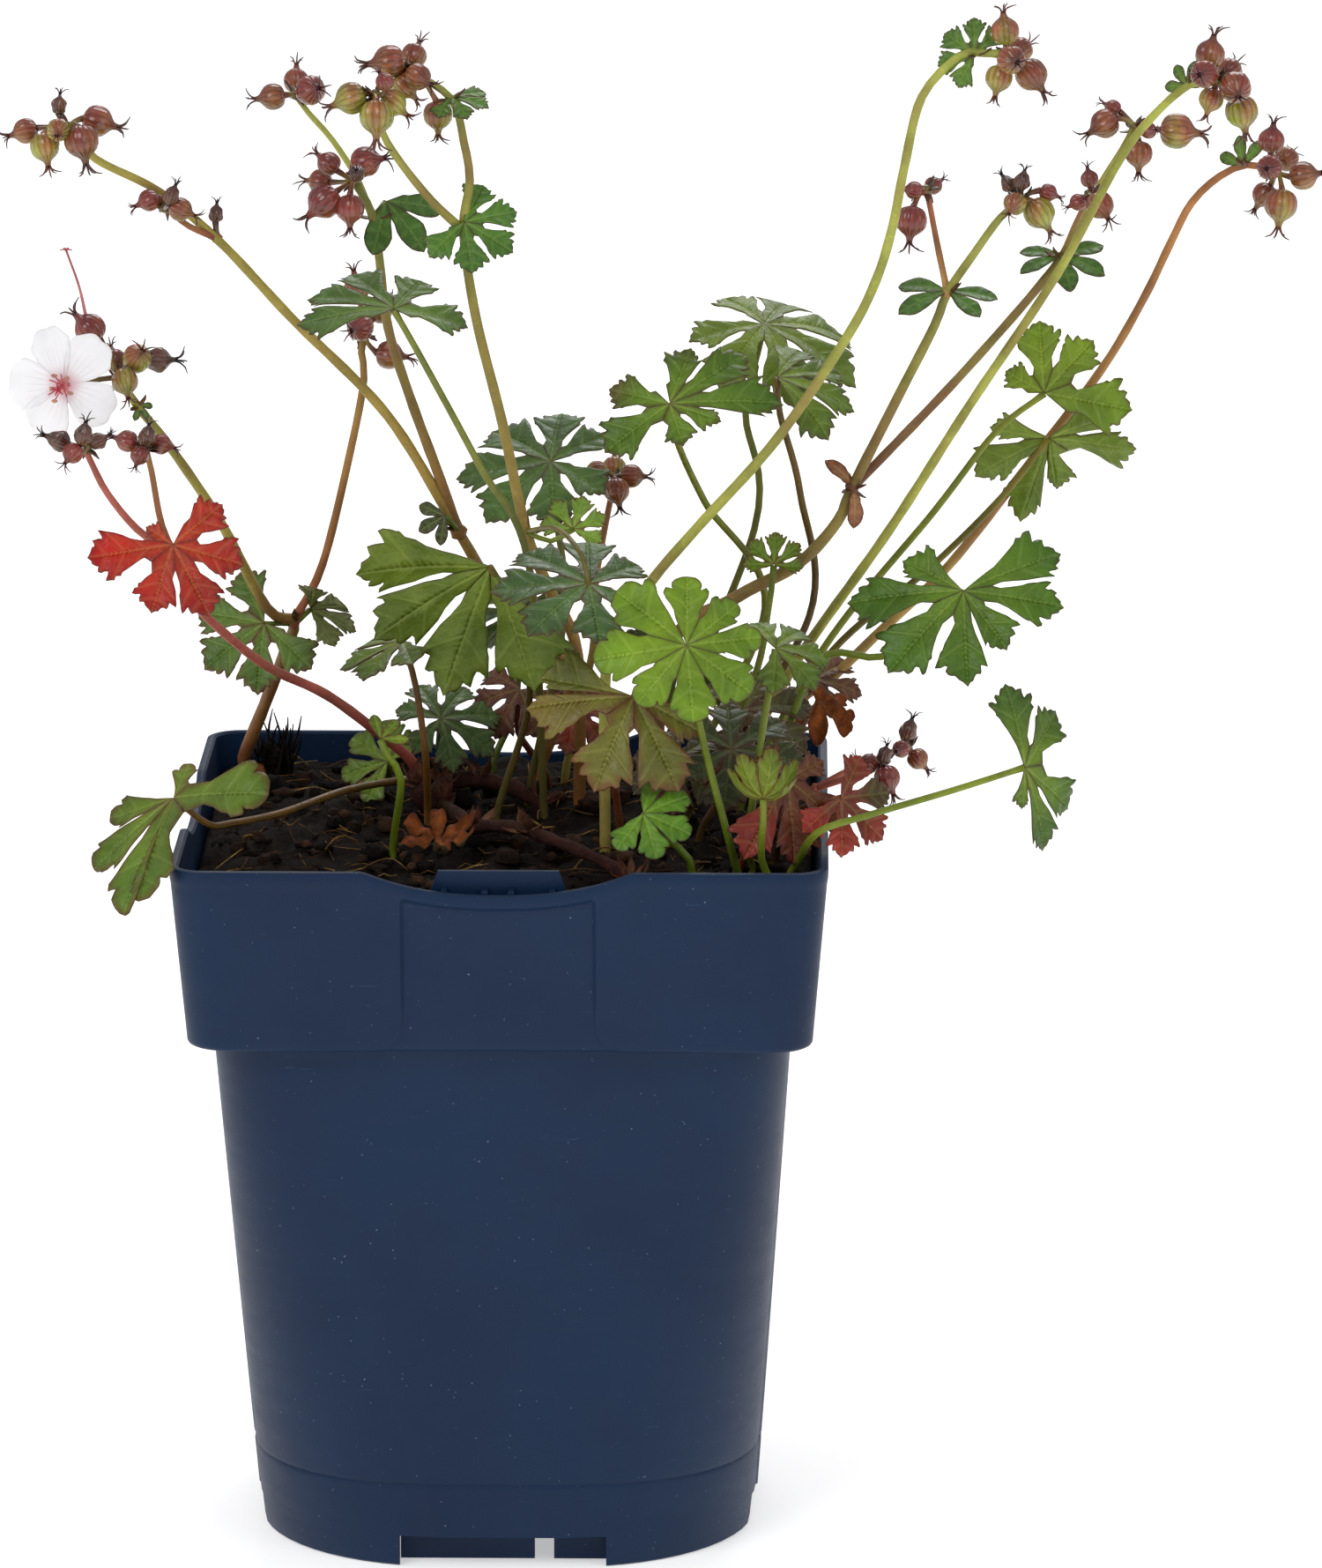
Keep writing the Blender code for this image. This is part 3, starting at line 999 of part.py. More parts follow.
for spray_name, spray_entry in SPRAYS.items():
    fused(spray_name, spray_pieces(spray_name, spray_entry), STEM_COLOURS.get(spray_name, (0.24, 0.28, 0.07)))
for leaf_name, leaf_entry in LEAVES.items():
    note_roots(leaf_entry[5], PETIOLE_RADIUS)
    fused(leaf_name, leaf(leaf_entry, LEAF_GRADES.get(leaf_name, "plain")), LEAF_COLOURS.get(leaf_name, GREEN))
petal_shape, middle_shapes, flower_stalk = flower_parts()
for head_name, (hub_place, fruits) in HEADS.items():
    if head_name not in HEAD_OF_SPRAY:
        extra = flower_stalk if head_name == "head_flower" else []
        fused(head_name, head(HUBS[head_name], fruits) + extra, HEAD_COLOUR)
fused("flower_petals", [petal_shape], (0.80, 0.76, 0.80), roughness=0.5)
fused("flower_middle", middle_shapes, (0.62, 0.22, 0.36), roughness=0.5)
fused("rootstock", rootstock_pieces(), (0.26, 0.13, 0.07))
for litter_name, litter_entries in LITTER.items():
    fused(litter_name, litter_pieces(litter_entries), (0.16, 0.08, 0.03), roughness=0.9)

soil = put_object("soil", soil_shape(), False)
holes = []
for x, y, radius in ROOTS:
    top = soil_height(x, y)
    holes.append(upright_rod(x, y, top - ROOT_DEPTH - PART_GAP, top + 8 * MM,
                             (radius + HOLE_CLEARANCE) / math.cos(math.pi / 4), 4))
cut(soil, holes)
tidy(soil)
soil.data.materials.append(material("soil", (0.035, 0.022, 0.015), 0.95))

pot = fused("pot", pot_pieces(), (0.016, 0.038, 0.09), roughness=0.5, lean=1.0)
cut(pot, pot_cutters())
tidy(pot)
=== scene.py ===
"""The looks of a hardy geranium gone to seed in its square nursery pot.

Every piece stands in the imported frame: metres, +Z up, -Y towards the photograph's camera.
"""

import json
import math
import random

import bmesh
import bpy
import numpy as np
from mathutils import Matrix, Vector

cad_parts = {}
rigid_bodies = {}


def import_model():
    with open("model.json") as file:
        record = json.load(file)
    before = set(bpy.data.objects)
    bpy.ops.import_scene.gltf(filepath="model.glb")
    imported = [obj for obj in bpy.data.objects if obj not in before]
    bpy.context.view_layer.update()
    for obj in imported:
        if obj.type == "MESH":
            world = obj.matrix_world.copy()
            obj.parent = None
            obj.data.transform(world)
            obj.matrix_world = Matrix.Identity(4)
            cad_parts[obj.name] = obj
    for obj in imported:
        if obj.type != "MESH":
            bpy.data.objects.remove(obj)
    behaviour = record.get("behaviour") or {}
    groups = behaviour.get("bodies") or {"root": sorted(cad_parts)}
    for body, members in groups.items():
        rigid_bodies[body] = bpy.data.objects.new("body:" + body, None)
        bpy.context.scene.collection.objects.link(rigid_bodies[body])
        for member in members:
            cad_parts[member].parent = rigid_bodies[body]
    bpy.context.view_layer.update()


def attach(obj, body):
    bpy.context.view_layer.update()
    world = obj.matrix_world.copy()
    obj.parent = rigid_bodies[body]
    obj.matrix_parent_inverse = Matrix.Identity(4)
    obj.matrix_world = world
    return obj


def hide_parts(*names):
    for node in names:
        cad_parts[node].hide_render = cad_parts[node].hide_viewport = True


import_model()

# The pot, as in the frame
MM = 0.001
POT_HEIGHT = 124.6 * MM
RIM_HALF = 55.0 * MM
RIM_CORNER = 6.0 * MM
COLLAR_HEIGHT = 31.5 * MM
COLLAR_BOTTOM_HALF = 52.4 * MM
BODY_TOP_HALF = 48.6 * MM
BODY_TOP_CORNER = 12.0 * MM
BASE_HALF = 42.5 * MM
BASE_CORNER = 32.0 * MM
WALL = 1.6 * MM
FLOOR_UNDERSIDE = 6.0 * MM
FLOOR_TOP = 7.8 * MM
DIP_DEPTH = 3.9 * MM
DIP_HALF = 22.5 * MM
PANEL_RECESS = 0.8 * MM
LIP_DEPTH = 2.3 * MM
NOTCH_HALF = 17.6 * MM
NOTCH_HEIGHT = 5.6 * MM
PLATE_SETBACK = 5.5 * MM
DRAIN_RADIUS = 4.0 * MM
DRAIN_REACH = 21.0 * MM
SLOT_HALF = 11.7 * MM

# Soil, stems and leaves
SOIL_HALF = 50.0 * MM
SOIL_EDGE_TOP = 117.6 * MM
SOIL_MOUND = 1.4 * MM
SOIL_SLOPE = 0.04
SOIL_GAP = 0.45 * MM
ROOT_DEPTH = 9.0 * MM
BLADE_THICKNESS = 0.8 * MM
LEAF_THICKNESS = 0.42 * MM
PETAL_THICKNESS = 0.75 * MM
BRACT_THICKNESS = 0.28 * MM
PETIOLE_RADIUS = 0.85 * MM
PART_GAP = 0.35 * MM

# The camera of the photograph
EYE = np.array([0.0496087, -1.5, 0.4695141])
YAW = 0.01553714
PITCH = 0.22420556
FOCAL_PX = 10161.77
MIDDLE_PX = (750.0, 889.5)
PHOTO_LONG_SIDE_PX = 1779.0
SENSOR_MM = 36.0

# Where the parts of the plant stand. Each table is text: a row a line, its fields apart by semicolons, and a
# line that starts with a space goes on with the row above. A place is "across down back", a spot in the
# photograph's 1500 x 1779 frame and its distance behind the pot's centre plane in mm. A foot is "x y" in mm
# on the soil. A route is feet and places apart by commas, and may end with the name of a head.
#
# Stems: spray, name, radius at the foot and at the tip in mm, tint at the foot and at the tip; route.
STEMS = """
spray_far_left main 1.35 0.75 9A6A44 A3A652; 4 27, 648 770 24, 600 715 20, 555 660 14, 520 603 8, 440 472 4,
 330 360 0, 250 275 -4, 180 217 -8, 108 180 -12, head_far_left
spray_far_left side 0.7 0.5 9A5A4A 9A7A4C; 246 270 -4, 215 257 -8, head_left_branch
spray_far_left inner 1.1 0.8 8E6A44 7E8A44; 520 603 8, 500 545 6, 465 450 2, 440 370 -2, 430 290 -5,
 422 243 -7, head_inner_left
spray_far_left inner_top 0.65 0.55 9AA656 9AA656; 424 255 -6, 408 208 4, 378 160 6, 350 128 6,
 head_upper_left
spray_centre_left main 1.3 0.7 9A6A44 8C9A4C; 12 12, 655 742 0, 625 672 -4, 597 603 -8, 570 480 -12,
 540 360 -16, 526 262 -20, 533 205 -20, 526 160 -20, 512 112 -20, head_top_back
spray_centre_left left_top 0.9 0.65 8E9A4C 9AA050; 526 262 -20, 490 228 -24, 455 185 -27, 434 150 -29,
 head_top_left
spray_flower main 1.5 0.8 8A4A38 9CA64E; -45 38, 275 868 38, 300 800 32, 324 738 26, 333 705 24, 303 690 18,
 250 592 8, 195 510 0, 157 462 -6, head_flower
spray_flower tall 0.9 0.7 9A5A40 A2904E; 333 705 24, 366 640 27, 398 510 30, 413 430 31, 410 400 32,
 head_behind
spray_tall_right main 1.15 0.8 A8AE5C 9AA854; 17 -14, 690 740 -16, 735 665 -16, 790 600 -18, 880 500 -22,
 960 384 -26, 994 318 -28, 1013 256 -30, 1026 190 -31, 1046 110 -32, 1088 64 -32, 1112 60 -32,
 head_tall_right
spray_forked main 1.5 0.7 7A4434 8E9A50; 25 8, 760 735 8, 835 678 8, 905 640 8, 950 592 8, 967 553 8,
 1018 452 4, 1060 370 0, 1075 332 -2, 1105 288 -6, 1135 247 -8, head_right_dark
spray_forked pink 0.7 0.5 A88A5A A8685A; 1075 332 -2, 1063 275 2, 1054 228 3, head_pink
spray_forked right 0.95 0.8 6E4A3A 9AA450; 967 553 8, 1000 520 12, 1100 415 18, 1200 298 24, 1240 225 26,
 1274 170 28, head_right_high
spray_forked short 0.6 0.5 8E8A4C 9A6A54; 1205 290 24, 1222 250 19, head_right_small
spray_right main 1.15 0.75 A4AA58 A0AE56; 38 24, 895 765 24, 930 712 20, 1010 600 12, 1100 460 6,
 1200 310 0, 1270 182 -4, 1310 130 -7, 1350 96 -9, head_high_right
spray_far_right main 1.15 0.7 A59A58 A9744E; 44 33, 905 800 34, 945 768 34, 1000 715 34, 1078 640 33,
 1180 510 32, 1252 416 31, 1298 338 30, 1328 276 29, 1352 230 28, 1384 200 26, 1415 187 24, head_far_right
spray_red_left main 1.2 0.6 A05250 A8605A; -15 12, 470 868 6, 430 832 0, 370 788 -8, 305 757 -16,
 252 716 -24, 220 682 -30, 205 640 -34, 155 600 -36, 122 560 -38, 106 530 -40, head_low_left
spray_red_left side 0.7 0.55 9A5A4A 9A7A4C; 205 640 -34, 184 597 -32, 172 535 -30, head_low_left_inner
spray_centre_short main 0.9 0.6 8E9A4C 9A6A4A; 9 33, 672 740 32, 676 660 30, 690 580 30, head_centre
spray_low_right main 0.8 0.6 A05A50 A8605A; 49 14, 925 895 7, 955 885 5, 985 874 4, head_low_right
spray_low_right long 0.7 0.55 A05A50 A8605A; 925 895 7, 955 878 10, 985 866 13, 1012 853 14,
 head_low_right_far
"""

# Leaves: name; centre, tip of the middle lobe; the way the upper side faces, droop; lobes; the stalk's route;
# looks. Lobes are a count, or their angles in degrees from the longest, or the spots of their tips. Looks
# are the colours of the base, the tip and the edge, the edge's width in mm, the colours of the stalk's tip
# and foot, and odd lobes with a colour of their own. A leaf of a spray has the spray's name, and a basal
# leaf also has its finish, how far out its lobes meet, and whether they are rounded.
SPRAY_LEAVES = """
spray_far_left; 438 228 -4, 452 292 0; 0.3 -0.7 0.6 0.1; 3; 424 246 -6; 64904A 4E7C3C 4A4A2A 0.6 8C9A4A
spray_far_left; 505 585 4, 478 590 0; -0.2 -0.9 0.4 0.1; 3; 518 600 7; 6A7A48 58683C 3E2A24 1.2 8C9A4A
spray_centre_left; 527 252 -22, 578 262 -28; 0.1 -0.75 0.65 0.1; 5; 526 262 -20;
 6E9A48 4E7E38 3E5A2A 0.6 8C9A4A
spray_centre_left; 512 106 -20, 556 118 -22; 0.0 -0.35 0.9 0.15; 4; 512 112 -20;
 7EA24A 5A8A3A 5A4A2A 0.6 8C9A4A
spray_centre_left; 668 662 -33, 556 648 -36; 0.1 -0.42 0.9 0.15; 7; 597 603 -8, 632 600 -20, 660 630 -30;
 62845A 527450 6A4A40 1.2 8A7A4A
spray_centre_left; 650 600 -6, 662 560 -4; 0.0 -0.8 0.6 -0.05; 5; 597 603 -8, 625 614 -10;
 94B850 82AA44 8A5A3A 0.7 8C9A4A
spray_flower; 300 707 18, 226 745 12; -0.1 -0.8 0.6 0.15; 5; 330 707 24; 7E9A4E 5C8040 7A3A34 1.2 8C9A4A
spray_flower; 352 690 26, 405 718 24; 0.2 0.75 0.6 0.2; 4; 336 706 24; 8A9470 7E8660 7A5A4A 1.0 8C9A4A
spray_flower; 160 452 -4, 172 470 -8; 0.4 -0.8 0.3 0.2; 3; 157 460 -6; 64904A 4E7C3C 4A4A2A 0.6 8C9A4A
spray_tall_right; 1108 62 -30, 1068 34 -30; -0.2 -0.9 0.4 0.15; 5; 1106 62 -32;
 7EA24A 5A8A3A 5A4A2A 0.6 8C9A4A
spray_forked; 1068 332 -2, 1012 316 -4; 0.0 -0.5 0.85 0.2; 2; 1075 332 -2; 64904A 4E7C3C 4A4A2A 0.6 8C9A4A
spray_forked; 1082 334 -2, 1130 342 -6; 0.0 -0.4 0.9 0.15; 2; 1075 332 -2; 64904A 4E7C3C 4A4A2A 0.6 8C9A4A
spray_forked; 1200 294 24, 1155 272 22; 0.0 -0.45 0.9 0.15; 2; 1204 292 24; 64904A 4E7C3C 4A4A2A 0.6 8C9A4A
spray_forked; 1207 294 24, 1256 304 20; 0.0 -0.55 0.8 0.1; 3; 1204 292 24; 64904A 4E7C3C 4A4A2A 0.6 8C9A4A
spray_forked; 967 550 6, 964 518 4; 0.6 -0.7 0.3 0.3; 1; 967 553 8; C08A7A A85A52 8A3A38 0.7 9A6A5A
spray_forked; 970 554 6, 990 584 2; 0.5 -0.8 0.3 0.2; 1; 967 553 8; C08A7A A85A52 8A3A38 0.7 9A6A5A
spray_right; 1346 98 -9, 1330 72 -7; -0.5 -0.8 0.3 0.1; 3; 1348 98 -9; 7EA24A 5A8A3A 5A4A2A 0.6 8C9A4A
spray_far_right; 1416 184 25, 1412 158 28; -0.5 -0.8 0.3 0.1; 3; 1412 188 24;
 7EA24A 5A8A3A 5A4A2A 0.6 8C9A4A
"""

LEAVES = """
leaf_big_front leaf_light 0.42 rounded; 779 732 -46, 780 651; 0.1 -1 0.3 0.1; 697 667, 780 651, 840 684,
 868 722, 856 788, 788 822, 722 800, 670 748; 40 -33, 826 950 -39, 800 850 -41, 786 780 -43;
 B0C846 92B236 7E8A36 0.8 A9AE5C 9CA854
leaf_behind_front leaf_red 0.32; 719 790 -38, 672 896; 0.0 -0.85 0.5 0.15; 610 764, 592 797, 672 896,
 772 896, 800 830; 20 -18, 695 860 -28, 706 820 -34;
 8CA04C 7A8A40 7A3A34 2.2 9A5A44 5E3E2C 1:84863E 0:78903C
leaf_pale_left leaf_light 0.28; 556 642 -16, 506 772; 0.1 0.9 0.4 0.2; -38 0 38 72; -2 2, 600 800 -2,
 590 700 -10; 93A268 8A9A5C 7A6A4A 0.9 A0785A 5E3E2C
leaf_dark_centre leaf_dark 0.28; 625 523 10, 512 530; -0.1 -0.5 0.85 0.15; 7; 3 19, 640 700 10, 630 580 10;
 6A8C56 5A7E4A 6A5A44 1.0 A0A060 5E3E2C
leaf_upper_left leaf_dark 0.28; 447 350 -22, 333 352; 0.1 -0.45 0.88 0.2; 333 352, 346 319, 395 295,
 480 310, 535 360; 6 6, 600 640 -16, 545 530 -18, 480 410 -20; 7E9A62 5E8448 5A4A34 0.8 9AA052 5E3E2C
leaf_fresh_right leaf_light 0.36; 1185 446 12, 1282 462; -0.2 -0.9 0.4 0.1; 1140 420, 1178 361, 1240 384,
 1284 463; 40 15, 935 735 14, 1060 580 12, 1130 490 12; AEBE66 93B048 7E6A3A 0.8 A8A65A 9C9A50
leaf_pale_right leaf_light 0.34; 1190 496 24, 1292 498; 0.2 0.9 0.5 0.1; 1124 482, 1108 532, 1160 583,
 1200 552, 1292 504, 1264 466; 44 24, 935 750 26, 1060 640 25, 1140 560 24;
 9FB070 8FA55C 8A6A5A 1.0 A58A5A 8A7048
leaf_large_right leaf_mid 0.28; 1093 670 -6, 1208 680; -0.1 -0.75 0.65 0.12; 1023 633, 956 675, 1004 758,
 1097 773, 1142 733, 1208 682, 1205 620; 44 4, 925 755 4, 1000 745 0, 1060 712 -3;
 82A44C 5E8C38 4A5A2A 0.7 94A24E 8C9A4A
leaf_side_right leaf_mid 0.28; 1163 871 -36, 1224 920; 0.6 -0.75 0.15 0.15; 1150 773, 1206 805, 1224 920,
 1198 970, 1162 918; 48 -36, 905 978 -39, 928 944 -44, 985 925 -43, 1080 897 -39;
 8AA64C 55803A 4A4A38 0.9 A2B058 9AA850
leaf_browned leaf_mid 0.32; 760 458 -14, 890 447; -0.1 -0.75 0.65 0.15; 784 392, 848 392, 890 447, 818 476,
 775 505, 684 510, 690 440; 29 14, 868 690 14, 800 570 0, 768 500 -10;
 7FA044 64903A 5A3A34 1.1 9CA04E 8A8A46 0:6E5044 6:5E6A3A
leaf_top_back leaf_mid 0.28; 868 368 20, 988 408; 0.15 -0.35 0.92 0.3; 7; 24 22, 856 600 20, 846 470 20,
 860 400 20; 94A866 84A058 7A7A4A 0.8 949A4C 5E3E2C
leaf_top_right leaf_mid 0.28; 882 428 0, 976 462; 0.1 -0.5 0.85 0.3; -24 14 52 92; 33 17, 918 700 16,
 908 560 8, 885 470 3; 8CA45C 6E8E48 5E5038 1.0 8E6A4C 5E3E2C
leaf_small_centre leaf_light 0.28; 878 640 2, 880 606; 0.0 -0.7 0.7 -0.2; 5; 30 2, 852 780 0, 872 690 1;
 A0B45A 86A248 9A5A4A 0.9 9A9A50 5E3E2C
leaf_mid_right leaf_mid 0.28; 880 735 -30, 950 738; 0.2 -0.45 0.85 0.25; 5; 42 -27, 848 960 -30,
 862 850 -32, 875 770 -31; 94A85C 6E9444 6A6A3A 0.8 9CA85A 94A04E
leaf_cup leaf_light 0.55 rounded; 866 905 -50, 886 868; 0.0 -0.2 0.95 -0.7; 5; 46 -44, 864 975 -46,
 866 930 -49; A9B470 98A45A A06A4A 1.0 A2A85A 94A04E
leaf_small_front leaf_light 0.38 rounded; 730 923 -44, 785 945; 0.0 -0.75 0.65 0.1; 5; 32 -40, 782 975 -42,
 755 950 -41; 8CB64E 6EA03E 54803A 0.6 94A84E 8CA04A
leaf_dark_right leaf_dark 0.28; 830 850 -16, 925 858; 0.1 -0.6 0.8 0.2; 7; 33 -8, 820 900 -10;
 3E4A24 384222 5A2A2A 1.4 8A5A3A 5E3E2C
leaf_red_right leaf_red 0.28; 954 906 -38, 1006 952; 0.4 -0.8 0.45 0.12; 5; 46 -17, 903 922 -30;
 6A4030 9A302C 8A2024 1.4 8A4A34 5E3E2C 0:B03030 1:C03A34 3:4E5030
leaf_red_left leaf_red 0.36; 196 618 -44.5, 100 632; 0.1 -0.84 0.5 0.05; 100 632, 166 598, 252 572, 276 640,
 238 697, 172 694; 218 682 -32.4, 206 645 -41; C84A30 CC1018 96101A 1.4 B0625A B0625A
leaf_edge_on leaf_mid 0.28; 457 727 -3, 382 754; -0.36 -0.15 0.92 0.1; 5; -14 4, 483 860 -4, 472 780 -4;
 8A9A4A 66883C 6A4A34 1.2 A06A4A 8A5040
leaf_low_left leaf_mid 0.28 rounded; 440 864 20, 395 832; -0.2 -0.8 0.6 0.15; 5; -26 25, 440 885 24;
 A0BE62 82A44C 5A4A34 0.9 7A8A44 6A7A3C
leaf_low_dark leaf_dark 0.28; 500 815 18, 575 800; 0.1 -0.6 0.8 0.25; 7; -8 22, 500 860 18;
 5C7A46 4E6E3C 5A4438 1.0 6A7A44 5A6A3A
leaf_fuzzy leaf_light 0.28; 432 838 -26, 452 818; 0.2 -0.6 0.75 -0.1; 3; -19 -18, 455 885 -25, 440 858 -26;
 A8BC66 94AC54 9A7A4A 0.8 A4B060 94A050
leaf_over_rim leaf_mid 0.28 rounded; 197 905 -41, 100 984; -0.45 -0.5 0.75 0.1; 300 892, 215 866, 122 928,
 98 982, 128 1030, 147 1016; -17 22, 470 884 20, 395 896 2, 320 922 -18, 262 934 -34, 236 935 -39;
 8CA456 74984A 7E4A3E 1.6 9A6A4A 8A6044
leaf_back_left leaf_dark 0.28; 590 690 44, 540 655; -0.3 0.7 0.7 0.2; 5; -4 42, 585 800 44;
 6E8E50 5A7E42 5A4A34 0.9 7A8A44 6A7A3C
leaf_back_right leaf_dark 0.28; 770 745 46, 822 708; 0.3 0.7 0.6 0.2; 5; 22 44, 755 810 46;
 6E8E50 5A7E42 5A4A34 0.9 7A8A44 6A7A3C
"""

# Low leaves in the crown that have no solid of their own, and the dry leaves of the litter
CROWN_LEAVES = """
crown; 893 884 -34, 905 984; 0.2 -0.8 0.55 0.15; 846 972, 905 978, 962 938, 935 862, 862 846; 40 -28,
 880 930 -32; 7A5A40 9A3A34 6A2428 2.0 8A4A38 7A3A30 0:A83A38 4:5E6238
crown; 846 806 2, 925 834; 0.1 -0.65 0.75 0.2; 800 770, 870 756, 928 790, 922 846, 820 852; 27 0, 838 850 0;
 5E6640 4E5636 5A2A2A 1.8 7A4A34 6A3A2C
crown; 655 806 12, 690 846; 0.0 -0.7 0.7 0.2; 5; 12 18, 652 840 14; A8443A 8E2E2C 5A1E1E 1.6 8A4438 7A3A30
crown; 590 782 26, 556 832; -0.1 -0.7 0.7 0.3; 5; 6 30, 588 830 27; 7A5444 6A3A38 4A2424 1.8 7A4A34 6A3A2C
crown; 768 862 2, 820 906; 0.1 -0.6 0.8 0.25; 7; 22 -4, 764 905 0;
 56603C 4A5434 4A2A2A 1.6 7A4A34 6A3A2C 2:6A4038
crown; 925 770 30, 968 742; 0.2 -0.6 0.75 0.2; 5; 40 34, 922 810 31; 7E6A50 8A5048 5A2A2A 1.6 7A4A34 6A3A2C
"""

LITTER = """
litter_left; 498 953 -18, 545 966; 0 -0.35 0.93 -0.4; 3; 498 953 -18
litter_left; 498 953 -18, 458 940; -0.2 -0.35 0.9 -0.3; 3; 498 953 -18
litter_right; 932 800 18, 966 780; 0.2 -0.5 0.85 0.3; 3; 932 800 18
litter_right; 932 800 18, 925 840; -0.1 -0.6 0.8 0.3; 3; 932 800 18
"""

